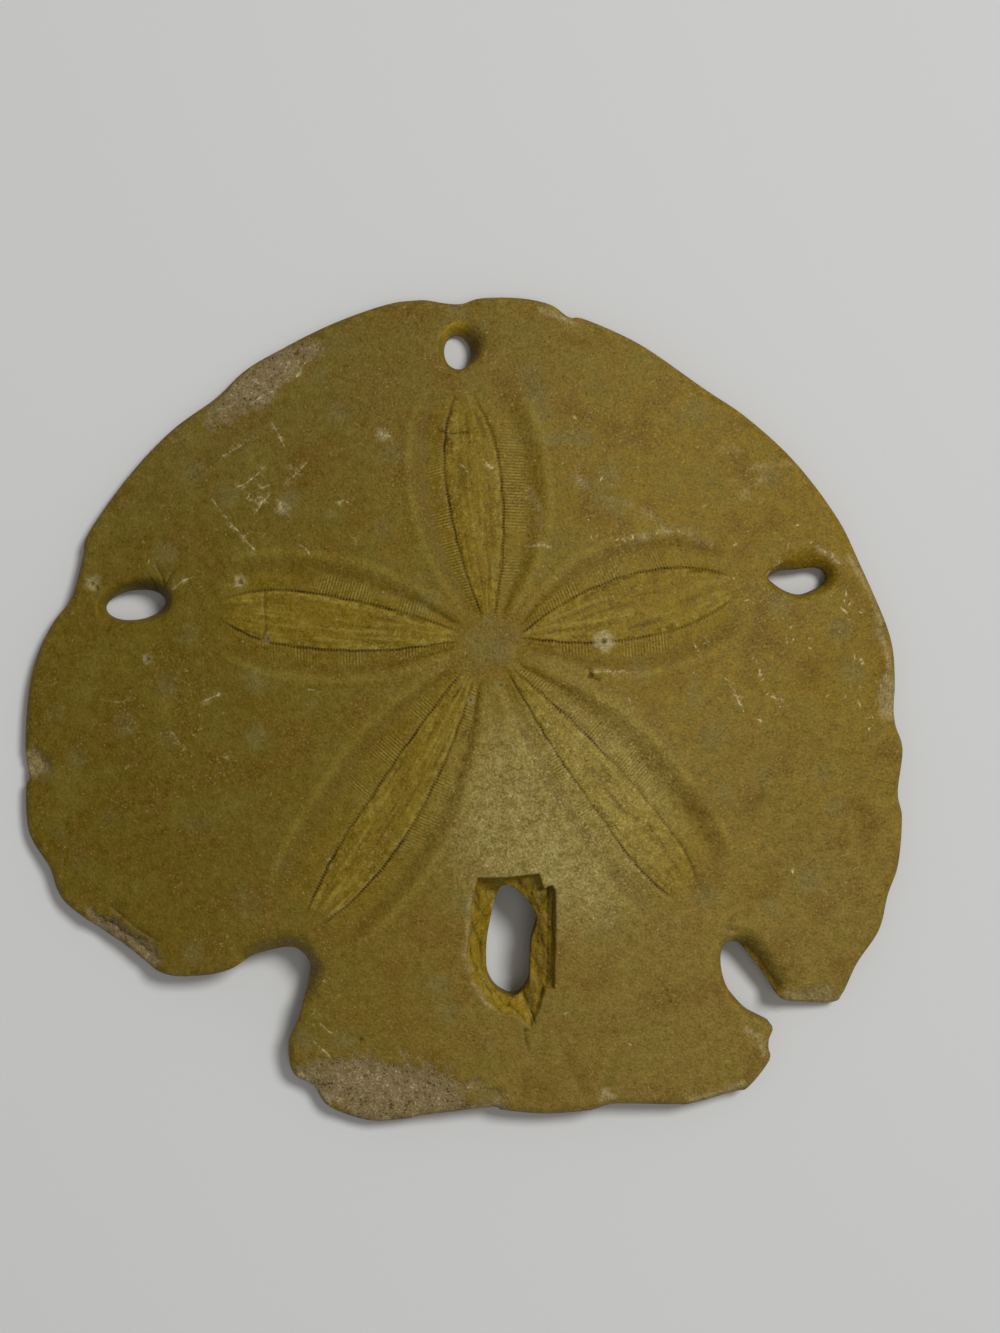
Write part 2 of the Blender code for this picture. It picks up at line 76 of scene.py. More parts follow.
# Rim of the plate from above, anticlockwise from its front
OUTLINE = [
    (3.5, 45.9), (1.6, 46.1), (-1.3, 46.7), (-5.3, 46.4), (-11.6, 44.6), (-18.3, 41.8), (-21.9, 39.9),
    (-25.1, 37.2), (-30.5, 33.8), (-35.8, 28.9), (-40.7, 22.9), (-41.6, 20.1), (-43.1, 15.7),
    (-45.4, 13.0), (-47.5, 9.4), (-48.9, 4.9), (-49.7, -1.6), (-49.4, -4.6), (-49.9, -5.6),
    (-49.9, -10.8), (-47.8, -14.9), (-47.1, -17.5), (-45.6, -19.7), (-39.9, -24.2), (-35.8, -27.6),
    (-31.8, -28.2), (-28.0, -27.7), (-25.2, -26.3), (-21.5, -25.6), (-19.9, -26.0), (-18.8, -28.0),
    (-20.4, -33.3), (-21.9, -36.4), (-21.7, -40.1), (-19.5, -41.7), (-18.1, -44.1), (-13.7, -46.1),
    (-9.2, -46.2), (-7.2, -45.9), (0.7, -45.4), (1.5, -45.8), (6.6, -46.6), (11.2, -46.6),
    (12.5, -46.4), (14.7, -46.0), (21.2, -46.6), (23.0, -46.7), (28.2, -45.7), (29.8, -45.4),
    (32.4, -42.5), (32.4, -41.0), (32.5, -40.0), (33.0, -38.9), (32.7, -38.1), (31.6, -37.4),
    (30.2, -36.5), (29.1, -35.2), (28.0, -33.5), (27.5, -31.5), (27.5, -29.7), (27.9, -28.7),
    (28.6, -28.3), (29.5, -28.5), (30.5, -29.6), (31.8, -31.5), (33.1, -33.6), (33.8, -35.0),
    (34.6, -35.7), (36.4, -36.1), (40.2, -36.5), (41.4, -35.4), (43.2, -32.2), (46.0, -28.6),
    (47.3, -24.6), (48.7, -21.3),
    (49.5, -16.0), (49.2, -13.1), (50.1, -8.2), (49.4, -4.9), (49.8, -0.3), (49.5, 5.1),
    (46.6, 13.5), (44.4, 18.8), (40.2, 25.2), (35.1, 30.6), (30.1, 34.5), (23.5, 39.8),
    (17.5, 43.1), (15.6, 43.5), (13.6, 45.1), (10.2, 46.1), (5.8, 46.4),
]

# Slots through the plate: a slope leads down into each, widest toward one bearing, with painted shade on it
# toward another and, on the front slot, painted light toward a third
FRONT_SLOT = {"centre": (2.6, 40.5), "half_size": (1.5, 2.0), "turn": 4.0,
              "slope": (0.3, 2.6), "widest_toward": 42.0, "fall": 0.75, "painted_shade_toward": -8.0,
              "lit_toward": 100.0}
LEFT_SLOT = {"centre": (-36.0, 14.3), "half_size": (3.5, 1.7), "turn": 3.0,
             "slope": (0.6, 1.9), "widest_toward": 40.0, "fall": 0.6, "painted_shade_toward": 35.0}
RIGHT_SLOT = {"points": [(36.1, 12.3), (36.9, 11.4), (38.1, 10.6), (39.4, 10.2), (40.9, 10.5),
                         (42.2, 11.1), (42.8, 12.0), (42.5, 12.8), (41.4, 13.2), (39.7, 13.1),
                         (37.9, 13.1), (36.8, 12.8)],
              "slope": (0.5, 2.6), "widest_toward": 65.0, "fall": 0.5, "painted_shade_toward": 5.0,
              "painted_shade": 0.35}
BACK_SLOT = {"points": [(3.7, -20.1), (2.9, -21.0), (2.1, -23.2), (1.4, -25.9), (1.1, -28.2),
                        (1.1, -30.2), (1.9, -31.8), (3.4, -32.8), (4.6, -32.6), (5.7, -31.2),
                        (6.0, -29.2), (6.3, -26.7), (7.1, -24.2), (6.4, -22.2), (4.9, -20.5)],
             "slope": (0.5, 0.5), "widest_toward": 0.0, "fall": 0.3, "painted_shade_toward": 0.0}
SLOTS = [FRONT_SLOT, LEFT_SLOT, RIGHT_SLOT, BACK_SLOT]
SLOPE_REACH = 3.2
SLOT_PAINTED_SHADE = 1.0
SLOT_LIT = (0.15, 0.45)

# Sides of the open notches that slope, with painted shade on them
NOTCH_SIDES = [
    {"line": [(28.4, -28.3), (29.6, -28.5), (30.6, -29.6), (31.9, -31.5), (33.2, -33.6), (34.6, -35.7)],
     "width": 2.8, "fall": 0.45, "painted_shade": 0.6, "middle": (31.8, -31.2), "reach": 5.6},
    {"line": [(-30.0, -28.1), (-25.2, -26.3), (-21.5, -25.6), (-19.9, -26.0), (-18.8, -28.0), (-20.6, -34.0)],
     "width": 2.2, "fall": 0.4, "painted_shade": 0.6, "middle": (-21.2, -26.4), "reach": 7.5},
]

# Broken rim of the back slot: a step, then facets and creases that fall to the slot
BREAK = [(0.8, -18.8), (-0.2, -21.8), (-0.7, -24.9), (-1.1, -27.8), (-0.6, -30.6), (0.5, -32.7),
         (2.1, -34.4), (4.6, -35.1), (5.6, -36.5), (6.9, -34.0), (7.6, -31.9), (8.6, -32.2),
         (9.2, -25.6), (9.5, -20.9), (9.1, -20.2), (8.2, -20.5), (7.7, -18.8), (3.9, -19.0)]
BREAK_STEPS = {"left": 0.45, "right": 0.8, "inner": 1.3}
BREAK_STEP_WIDTH = 0.3
BREAK_STEP_POINTS = (-0.12, 0.12, BREAK_STEP_WIDTH)
BREAK_FALLS = {"left": 1.7, "right": 0.6}
BREAK_MIDDLE = 4.3
BREAK_BLEND = 3.0
BREAK_INNER_END = (-22.0, -20.5)
BREAK_FLOOR = 3.2
BREAK_FACET = 0.45
BREAK_CREASE = 0.3
BREAK_CREASE_WIDTH = 0.12
BREAK_FIBRE_STRETCH = (1.0, 0.4)
BREAK_FIBRE_TURN = 40.0

# Petals: half widths of the leaf at its base, its widest place and its tip, and widths of the two bands
PETALS = {
    "front": {"base": (4.0, 10.4), "tip": (3.0, 35.4), "bow": -0.1, "half": (0.8, 3.1, 0.9),
              "widest_at": 0.62, "bands": (3.3, 4.6)},
    "front_right": {"base": (8.0, 7.7), "tip": (32.1, 11.6), "bow": 0.3, "half": (0.4, 3.6, 1.0),
                    "widest_at": 0.58, "bands": (3.5, 3.3)},
    "front_left": {"base": (0.1, 8.1), "tip": (-26.2, 13.1), "bow": 0.2, "half": (0.7, 3.1, 0.9),
                   "widest_at": 0.66, "bands": (2.6, 3.6)},
    "back_left": {"base": (1.1, 3.2), "tip": (-17.8, -22.6), "bow": 0.8, "half": (0.9, 2.8, 1.0),
                  "widest_at": 0.60, "bands": (3.6, 4.6)},
    "back_right": {"base": (6.3, 3.5), "tip": (24.4, -22.7), "bow": 0.2, "half": (0.4, 2.7, 1.4),
                   "widest_at": 0.76, "bands": (4.4, 3.0)},
}
LEAF_RISE = 0.12
LEAF_STREAK = 0.06
PORE_WANDER = 0.11
PORE_DEPTH = 0.09
PORE_HALF_WIDTH = 0.15
PORE_PIT_DEPTH = 0.12
PORE_PIT_HALF_WIDTH = 0.12
PORE_PITCH = 0.345
BAND_DEPTH = 0.26
BAND_DEEPEST = 0.62
BAND_START_SHARE = 0.3
STRIA_DEPTH = 0.06
STRIA_SHARE = 0.6
STRIA_SIDE = 0.15
STRIA_SLANT = 0.15
STRIA_FADE = (24.0, 15.0)
HALO_RISE = 0.08
HALO_DISTANCE = 0.8
HALO_HALF_WIDTH = 0.6
PETAL_FADE_FROM = 0.90
PETAL_FADE_TO = 1.02
DISC_CENTRE = (4.1, 7.1)
DISC_RADIUS = 3.2
DISC_RISE = 0.14
DISC_POINTS = 0.12
DISC_SIDE = (1.05, 0.75)

# Flaked places, crumbled or, where they have "clean", smooth; "layers" is the height of their steps
FLAKES = [
    {"centre": (-10.4, -43.6), "half_size": (13.0, 5.2), "turn": -14.0, "depth": 0.4, "layers": 0.0},
    {"centre": (-39.6, -23.9), "half_size": (6.5, 1.9), "turn": -36.0, "depth": 0.9, "layers": 0.28},
    {"centre": (-48.6, -3.0), "half_size": (1.8, 1.9), "turn": 20.0, "depth": 0.8, "layers": 0.0,
     "clean": 1.0},
    {"centre": (37.8, -36.0), "half_size": (5.0, 1.9), "turn": -4.0, "depth": 0.8, "layers": 0.25,
     "clean": 0.7},
    {"centre": (48.8, -2.0), "half_size": (1.4, 2.9), "turn": 0.0, "depth": 0.6, "layers": 0.0,
     "clean": 1.0},
    {"centre": (-19.6, 38.6), "half_size": (8.0, 2.6), "turn": 33.0, "depth": 0.08, "layers": 0.0},
]
FLAKE_WANDER = 0.34
LAYER_FLAT = 0.7

# Small marks on the upper side: pale scratches, then bright specks, dark cracks and pits
SCRATCHES = [
    [(-24.8, 30.3), (-23.4, 30.9), (-21.8, 31.7), (-20.6, 32.1)],
    [(-18.9, 33.7), (-18.2, 32.4), (-17.6, 30.9)],
    [(-16.9, 28.5), (-16.3, 27.6)],
    [(-17.8, 26.7), (-16.6, 27.4), (-15.5, 28.5), (-14.9, 29.0)],
    [(-23.0, 26.7), (-22.0, 27.1), (-20.8, 27.9), (-20.0, 28.6)],
    [(-22.2, 25.2), (-21.5, 26.0), (-20.4, 26.3), (-19.5, 26.6)],
    [(-22.2, 24.9), (-20.5, 25.3)],
    [(-21.2, 23.5), (-20.5, 24.6), (-19.5, 25.5)],
    [(-18.7, 24.8), (-18.1, 23.9), (-17.6, 23.0)],
    [(-21.0, 36.2), (-19.8, 36.8), (-18.6, 37.3)],
    [(-15.7, 38.8), (-15.0, 40.1), (-13.9, 40.6)],
    [(-25.9, 25.1), (-24.8, 23.5), (-23.5, 21.8), (-22.6, 20.6), (-21.5, 19.2)],
    [(-16.2, 19.5), (-15.6, 18.7)],
    [(-10.5, 20.2), (-9.9, 19.0)],
    [(-7.1, 31.4), (-6.3, 31.4), (-5.5, 31.1)],
    [(-11.8, 24.1), (-11.1, 24.2), (-10.5, 23.8)],
    [(-30.9, 15.8), (-29.9, 16.6), (-28.6, 16.8)],
    [(-41.0, 1.3), (-41.9, 0.3), (-42.7, -0.5), (-43.7, -1.5), (-44.4, -2.4)],
    [(-40.1, 3.8), (-38.7, 3.4), (-37.6, 3.4), (-37.0, 3.9)],
    [(-45.1, -3.3), (-42.7, -3.1)],
    [(-38.1, -4.3), (-37.1, -3.7)],
    [(-28.3, 2.9), (-26.7, 3.4)],
    [(-32.1, -0.7), (-31.5, -1.7)],
    [(-26.5, -3.6), (-25.4, -4.2)],
    [(29.9, 1.5), (30.4, 0.6), (31.0, -0.2), (31.2, -1.0), (31.5, -1.8)],
    [(35.1, -1.1), (36.0, -1.5), (36.7, -2.1)],
    [(42.5, 14.9), (43.6, 14.1), (44.2, 13.4)],
    [(35.6, 12.5), (36.5, 13.5), (37.7, 14.0)],
    [(-16.5, 3.3), (-15.4, 3.2)],
    [(15.4, 3.0), (17.3, 3.0), (19.9, 2.6)],
    [(-18.1, -29.8), (-17.1, -29.4)],
    [(2.3, 27.2), (2.9, 26.3)],
    [(4.8, 27.6), (5.6, 26.6)],
    [(9.0, 17.6), (11.5, 17.4)],
    [(-18.8, -32.6), (-17.7, -33.6)],
    [(-18.0, -34.4), (-17.0, -35.4)],
    [(-24.0, 15.5), (-23.2, 15.7)],
    [(-18.9, -36.4), (-17.4, -38.0), (-16.8, -39.4)],
]
SPECKS = [
    (9.1, 17.6), (10.3, 17.5), (16.1, 18.1), (16.8, 18.2), (19.0, 17.6), (19.9, 17.4), (20.8, 17.7),
    (22.0, 17.7), (23.6, 18.1), (24.5, 18.3), (26.0, 18.2), (29.7, 16.4), (32.1, 16.1), (33.9, 16.0),
    (33.9, 17.6), (18.9, 23.8), (17.7, 24.5), (17.0, 32.2), (15.4, 31.7), (18.4, 27.7), (29.0, 27.6),
    (29.1, 20.7), (11.9, 13.8), (10.2, 14.2), (38.4, 15.8), (41.1, 15.9), (15.9, 20.1), (13.6, 26.6),
    (10.5, 27.2), (39.8, 18.0), (45.0, 6.9), (42.9, 9.8), (44.4, 9.1), (45.0, 8.7), (46.3, 7.6),
    (44.3, 8.0), (45.1, 2.7), (45.9, 2.4), (37.2, 7.6), (37.7, 6.7), (37.4, 4.8), (38.1, 5.1),
    (39.9, 5.1), (40.0, 4.0), (26.9, 5.2), (27.2, 4.5), (28.0, 5.4), (28.5, 5.5), (33.7, 3.2),
    (34.0, 1.7), (34.3, 0.9), (30.8, 0.7), (31.7, -1.7), (31.8, -2.5), (34.7, -0.8), (36.2, -2.4),
    (33.5, -3.6), (45.3, -2.8), (43.7, -1.8), (41.5, -1.5), (46.0, -4.3), (46.7, -4.3), (46.2, -5.5),
    (33.0, 9.8), (31.9, 12.4), (30.7, 10.6), (44.7, 10.0), (46.0, 1.9), (45.4, -0.7), (22.1, 25.4),
    (6.8, 27.0), (-12.8, 10.9), (-7.5, 13.6), (-24.8, 15.8), (36.2, -21.1), (18.9, -5.2), (13.2, -14.1),
    (9.9, -2.5), (19.1, -0.4), (-33.8, 19.0), (9.7, -34.9), (16.6, -39.0), (-2.9, -8.8), (26.5, 2.2),
]
SPECK_LENGTH = 0.1
SPECK_TURN = 137.5
SCRATCH_HALF_WIDTH = 0.13
SCRATCH_DEPTH = 0.05
SCRATCH_FADE = (-46.0, -28.0)
CRACKS = [
    [(-0.1, 31.3), (1.4, 30.8), (3.5, 31.0)],
    [(-20.7, 14.6), (-20.9, 13.0), (-20.8, 11.0), (-21.2, 9.2)],
    [(4.9, -36.4), (4.9, -37.6), (5.1, -38.6)],
    [(28.4, -26.8), (29.5, -26.9)],
    [(-34.0, 17.7), (-33.5, 16.7), (-33.0, 15.7)],
    [(-31.1, 17.6), (-31.8, 16.4)],
    [(-32.9, 18.4), (-32.3, 17.2), (-32.2, 15.9)],
    [(14.7, 3.5), (15.1, 2.5), (15.9, 2.0)],
    [(0.4, 2.3), (-0.6, 1.0)],
    [(2.0, -44.3), (1.4, -43.3), (0.0, -43.0)],
    [(-42.3, -20.6), (-39.5, -22.7), (-36.8, -25.0)],
    [(-40.8, -19.6), (-38.2, -22.1), (-35.8, -23.8)],
    [(0.1, -20.9), (0.7, -22.5), (1.5, -23.9)],
    [(-0.1, -24.0), (0.6, -26.6), (0.7, -29.0)],
    [(-0.3, -28.6), (0.7, -31.0), (1.6, -32.6)],
    [(8.6, -20.4), (8.2, -26.6), (7.7, -31.6)],
    [(9.1, -21.3), (8.8, -24.6), (8.7, -27.1)],
    [(6.7, -21.0), (7.5, -23.5), (7.1, -26.0)],
    [(5.4, -33.2), (5.7, -34.4), (6.2, -36.0)],
    [(3.2, -33.4), (4.3, -34.6)],
]
CRACK_HALF_WIDTH = 0.14
CRACK_DEPTH = 0.22
MARK_STEP = 0.14
PITS = [
    {"centre": (16.7, 6.4), "radius": 0.35, "pale": 1.4, "strength": 1.1},
    {"centre": (-20.8, 9.3), "radius": 0.40, "pale": 0.6},
    {"centre": (4.9, 2.3), "radius": 0.30, "pale": 0.4},
    {"centre": (-40.5, 17.0), "radius": 0.30, "pale": 1.1},
    {"centre": (-40.0, 16.5), "radius": 0.28, "pale": 0.0},
    {"centre": (-23.5, 15.9), "radius": 0.40, "pale": 0.8},
    {"centre": (-34.6, 8.0), "radius": 0.2, "pale": 0.8},
    {"centre": (-13.6, -36.4), "radius": 0.30, "pale": 0.0},
    {"centre": (14.9, 2.6), "radius": 0.45, "pale": 0.0},
    {"centre": (1.4, 0.9), "radius": 0.25, "pale": 0.5},
    {"centre": (-6.3, 31.3), "radius": 0.15, "pale": 0.9},
    {"centre": (-18.1, 23.9), "radius": 0.15, "pale": 1.0},
]
PIT_DEPTH = 0.35
PIT_WANDER = 0.45
PIT_REACH = 2.5
PIT_RINGS = (0.4, 0.8, 1.2)
CRUST_RINGS = (0.6, 0.85, 1.1)
CRUST_STRENGTH = 0.6
SHAKE = 0.12

# Pale strips along the rim, partly wear and partly painted highlight
RIM_STRIPS = [
    [(45.4, 14.0), (46.7, 11.6), (47.9, 9.0), (48.6, 6.4)],
    [(48.2, 5.4), (48.9, 3.4), (49.1, 1.6), (49.0, 0.6)],
    [(12.4, 44.6), (14.3, 43.6), (15.9, 42.7)],
    [(41.8, 15.2), (43.0, 14.5), (43.9, 13.6)],
    [(-20.9, -40.2), (-19.4, -41.5), (-17.9, -43.0)],
    [(23.2, -46.0), (26.5, -45.6), (29.2, -44.7)],
    [(12.9, -45.3), (13.5, -44.2), (14.3, -45.2)],
    [(29.8, -38.4), (31.4, -39.4), (31.7, -41.4)],
]
RIM_STRIP_HALF_WIDTH = 0.5
RIM_STRIP_STRENGTH = 0.8
CLEAN_STRENGTH = 0.7

# Pale growth lines
WISPS = [
    [(33.0, 23.7), (34.4, 24.7), (36.0, 25.0), (39.9, 25.0)],
    [(33.7, 22.2), (36.2, 23.5), (38.9, 23.4)],
    [(31.2, 20.5), (33.7, 21.6), (36.1, 21.1)],
    [(18.7, 22.0), (21.1, 21.2), (23.4, 19.9), (24.5, 18.3)],
    [(13.6, 25.7), (15.3, 24.6), (16.1, 23.7)],
    [(18.7, 17.7), (22.0, 17.7), (24.5, 18.3), (26.5, 17.9), (29.4, 16.5)],
    [(9.4, 24.5), (10.5, 22.0), (10.5, 19.6), (10.0, 17.2)],
    [(31.7, 27.4), (34.7, 26.6)],
]
WISP_HALF_WIDTH = 0.6
WISP_STRENGTH = 0.45

# Painted highlight: a pale edge along the left side of the broken rim
LIT_RIM_WIDTH = (0.5, 0.1)
LIT_RIM_SLANT = -0.35
LIT_RIM_LEFT = (15.2, 12.6)
LIT_RIM_START = (-20.0, -21.5)
LIT_RIM_STRENGTH = 0.5

# Faint grey-green clouds: centre, half size, turn and strength
CLOUDS = [
    ((13.3, 29.4), (4.6, 1.0), 2.0, 0.9), ((19.0, 21.2), (3.0, 0.8), -38.0, 0.8),
    ((16.4, 24.0), (2.4, 0.7), -30.0, 0.6), ((-17.4, 24.6), (2.0, 1.6), 30.0, 1.0),
    ((-13.0, 22.8), (1.2, 0.8), 0.0, 0.6), ((-6.4, 31.2), (0.9, 0.6), 0.0, 1.0),
    ((-4.8, 13.8), (3.4, 0.8), 20.0, 0.5), ((26.9, 0.6), (1.2, 2.6), 20.0, 0.5),
    ((24.5, 17.9), (5.2, 0.7), 12.0, 0.6), ((20.4, 16.8), (3.0, 0.6), 20.0, 0.5),
    ((-30.0, -11.0), (2.6, 1.4), 10.0, 0.5), ((-25.0, -20.0), (2.2, 2.4), 0.0, 0.4),
    ((33.5, -10.0), (1.0, 1.8), 10.0, 0.5), ((-40.0, -9.5), (1.3, 1.1), 0.0, 0.6),
    ((28.2, -27.6), (0.5, 0.9), 0.0, 1.0),
]
CLOUD_WANDER = 0.5
CLOUD_REACH = 1.8
CLOUD_SIDE = (1.2, 0.3)

# Small grey spots in the cells of an uneven net; cells below the least value have none
SPOT_CELL = 5.6
SPOT_SIZES = (0.34, 0.14)
SPOT_LEAST = -0.05
SPOT_STRENGTH = 0.75

# Underside
MOUTH = (4.0, 2.5)
MOUTH_RADIUS = 2.4
MOUTH_DEPTH = 1.6
VENT = (4.4, -17.2)
VENT_RADIUS = 1.2
VENT_DEPTH = 0.8
GROOVE_BEARINGS = (90.0, 16.0, 164.0, 237.0, 303.0)
GROOVE_REACHES = (34.0, 36.0, 40.0, 33.0, 36.0)
GROOVE_TRUNK = 6.5
GROOVE_SPREAD = 17.0
GROOVE_TWIG_STARTS = (0.38, 0.66)
GROOVE_TWIG_TURN = 30.0
GROOVE_TWIG_LENGTH = 9.0
GROOVE_BOW = 3.0
GROOVE_HALF_WIDTH = 0.8
GROOVE_DEPTH = 0.45
GROOVE_SHADE = 0.5
GROOVE_ROWS = (0.0, -0.4, 0.4, -GROOVE_HALF_WIDTH, GROOVE_HALF_WIDTH)
UNDER_EDGE = 3.0
GROOVE_EDGE = 2.0

# Noises: size of their lumps, seed and octaves
NOISES = {
    "broad_relief": (7.0, 1.0, 2), "fine_relief": (1.6, 2.0, 2), "crumbs": (0.75, 4.0, 2),
    "break_facets": (1.3, 3.0, 2), "break_creases": (1.0, 8.0, 2), "wall": (0.9, 5.0, 3),
    "flake_edge": (1.8, 6.0, 4), "pit_edge": (0.7, 7.0, 3), "leaf_streaks": (0.36, 9.0, 2),
    "under_broad": (3.0, 11.0, 2), "under_fine": (1.2, 13.0, 2), "worn_edge": (4.0, 12.0, 2),
    "pore_line": (1.5, 14.0, 2), "striae": (3.0, 17.0, 2), "shake_x": (0.6, 21.0, 2),
    "shake_y": (0.6, 22.0, 2), "scratches": (0.7, 23.0, 2), "lit_rim": (1.2, 24.0, 2),
    "wisps": (1.6, 25.0, 2), "warmth": (3.6, 31.0, 4), "paleness": (11.0, 32.0, 2),
    "clouds": (1.2, 33.0, 3),
}
NOISE_GAIN = (0.9, 2.1)
BROAD_RELIEF = 0.10
FINE_RELIEF = 0.03
CRUMB_RELIEF = 0.15
CRUMB_MOST = 0.25
EDGE_WEAR = 0.35
UNDER_RELIEF = (0.04, 0.05, 0.02)
WALL_HOLLOW = (0.12, 0.14, 0.35)
WALL_STRETCH = 1.8
RIM_WIDTH = 1.2
BREAK_SIDE = 0.15
FAR_AWAY = 99.0

# Point spacing of the fine skin
MARGIN_STEP = 0.42
SLOT_STEP = 0.22
WALL_ROWS = 5
TOP_STEP = 0.46
BREAK_POINT_STEP = 0.22
POINT_GAPS = {"clearance": 0.06, "rim": 0.08, "petal": 0.085, "mark": 0.09, "break": 0.14, "groove": 0.3}
UNDER_STEP = 0.85
GROOVE_STEP = 0.6
EDGE_RINGS = (0.1, 0.22, 0.38, 0.6, 0.9, 1.3)
FLAKE_STEP = 0.27
UNDER_RINGS = (0.2, 0.6, 1.2)
LEAF_ROW_STEP = 0.45
LEAF_COLUMNS = 17
BAND_COLUMNS = 7
PORE_COLUMNS = (-0.2, -0.09, 0.0, 0.1, 0.24)

# Camera above the plate, turned as in the photograph
IMAGE_SIZE = (1000, 1333)
CAMERA_OVER = (4.97, 4.38)
CAMERA_HEIGHT = 300.0
CAMERA_TURN = -4.0
VIEW_WIDTH = 114.75
SENSOR = 36.0
CLIP_START = 0.01

# Lamps, floor and the light all round, in metres and watts
LAMPS = {
    "soft_key": {"place": (0.46, 0.32, 0.90), "size": 0.32, "power": 7.3},
    "overhead": {"place": (0.17, -0.24, 1.05), "size": 0.40, "power": 1.0},
}
AMBIENT = 0.26
FLOOR_SIZE = 4.0
FLOOR_GAP = 0.00005
FLOOR_COLOUR = (0.62, 0.62, 0.61, 1.0)
FLOOR_ROUGHNESS = 0.9

# Material: its shine, the sizes of its grains, the worn place with its painted sheen, and the stretch of the
# fibres in the break
SHINE = 0.12
SMALL_GRAIN = 0.95
FINE_GRAIN = 0.26
STROKE_GRAIN = 0.55
CRYSTAL = 0.42
DOT_SPACING = 1.9
WORN_SHEEN_PLACE = (11.0, -13.0, 24.0)
WORN_SHEEN_REACH = (22.4, 14.8)
FIBRE_STRETCH = (1.0, 0.3, 1.0)
BUMP_STRENGTH = 0.8


def smooth_loop(points, step):
    """Closed smooth curve that keeps the given points, cut into steps of about the given length."""
    points = np.array(points, float)
    count = len(points)
    curve = []
    for i in range(count):
        before, start, end, after = (points[(i + k) % count] for k in (-1, 0, 1, 2))
        parts = max(1, round(np.linalg.norm(end - start) / step))
        for t in np.arange(parts) / parts:
            curve.append(0.5 * (2 * start + (end - before) * t
                                + (2 * before - 5 * start + 4 * end - after) * t ** 2
                                + (3 * start - before - 3 * end + after) * t ** 3))
    return np.array(curve)


def turned(points, turn):
    """The points turned about the origin by so many degrees."""
    c = math.cos(math.radians(turn))
    s = math.sin(math.radians(turn))
    return np.stack([points[:, 0] * c - points[:, 1] * s, points[:, 0] * s + points[:, 1] * c], axis=1)


def ellipse_loop(centre, half_size, turn, step):
    around = math.pi * (half_size[0] + half_size[1])
    angles = np.arange(0, 2 * math.pi, 2 * math.pi / round(around / step))
    x = half_size[0] * np.cos(angles)
    y = half_size[1] * np.sin(angles)
    return np.array(centre) + turned(np.stack([x, y], axis=1), turn)


def slot_loop(slot):
    if "points" in slot:
        return smooth_loop(slot["points"], SLOT_STEP)
    return ellipse_loop(slot["centre"], slot["half_size"], slot["turn"], SLOT_STEP)


def signed_area(loop):
    after = np.roll(loop, -1, axis=0)
    return 0.5 * float(np.sum(loop[:, 0] * after[:, 1] - loop[:, 1] * after[:, 0]))


def facing_material(loop, is_outline):
    """The loop in the direction that keeps the plate on its left."""
    return loop if (signed_area(loop) > 0) == is_outline else loop[::-1]


def inside(points, loop):
    ax, ay = loop[:, 0], loop[:, 1]
    bx, by = np.roll(loop, -1, axis=0).T
    x, y = points[:, :1], points[:, 1:]
    crosses = (ay > y) != (by > y)
    height = np.where(by == ay, 1.0, by - ay)
    return (crosses & (x < ax + (y - ay) * (bx - ax) / height)).sum(axis=1) % 2 == 1


def distance_to_line(points, line, closed):
    ends = np.roll(line, -1, axis=0) if closed else line[1:]
    starts = line if closed else line[:-1]
    along = ends - starts
    lengths = np.maximum((along ** 2).sum(axis=1), 1e-12)
    best = np.full(len(points), np.inf)
    for start, step, length in zip(starts, along, lengths):
        t = np.clip((points - start) @ step / length, 0, 1)
        best = np.minimum(best, np.linalg.norm(points - start - t[:, None] * step, axis=1))
    return best


def inward(loop):
    """Directions off the loop into the plate."""
    along = np.roll(loop, -1, axis=0) - np.roll(loop, 1, axis=0)
    along /= np.linalg.norm(along, axis=1)[:, None]
    return np.stack([-along[:, 1], along[:, 0]], axis=1)


def offset_ring(loop, distance):
    return loop + distance * inward(loop)


def rough(points, kind):
    """One of the named noises at the given points, between about -1 and 1."""
    size, seed, octaves = NOISES[kind]
    flat = np.column_stack([points, np.full(len(points), seed)]) if points.shape[1] == 2 else points
    return np.array([noise.fractal(spot, *NOISE_GAIN, octaves) for spot in (flat / size + seed).tolist()])


def patchy(points, kind, middle, strength):
    """A noise round the middle value, held between 0 and 1."""
    return np.clip(middle + strength * rough(points, kind), 0, 1)


def heading(bearing):
    """Direction at a bearing in degrees, from +X towards +Y."""
    return np.array([math.cos(math.radians(bearing)), math.sin(math.radians(bearing))])


OUTLINE_LOOP = smooth_loop(OUTLINE, MARGIN_STEP)
OUTLINE_LOOP -= (OUTLINE_LOOP.min(axis=0) + OUTLINE_LOOP.max(axis=0)) / 2
OUTLINE_LOOP = facing_material(OUTLINE_LOOP, True)
SLOT_LOOPS = [facing_material(slot_loop(slot), False) for slot in SLOTS]
LOOPS = [OUTLINE_LOOP] + SLOT_LOOPS
BREAK_LOOP = facing_material(np.array(BREAK), True)


def tree_of(points):
    tree = KDTree(len(points))
    for i, point in enumerate(points):
        tree.insert((point[0], point[1], 0), i)
    tree.balance()
    return tree


EDGE_POINTS = np.vstack([np.vstack([loop, (loop + np.roll(loop, -1, axis=0)) / 2]) for loop in LOOPS])
EDGE_INWARD = np.vstack([np.vstack([inward(loop), inward(loop)]) for loop in LOOPS])
EDGE_TREE = tree_of(EDGE_POINTS)


def signed_edge_distance(points):
    """Distance into the plate from its nearest edge, negative off the plate."""
    found = [EDGE_TREE.find((x, y, 0))[1:] for x, y in points.tolist()]
    index = np.array([i for i, _ in found])
    distance = np.array([d for _, d in found])
    side = np.einsum("ij,ij->i", points - EDGE_POINTS[index], EDGE_INWARD[index])
    return np.where(side >= 0, distance, -distance)


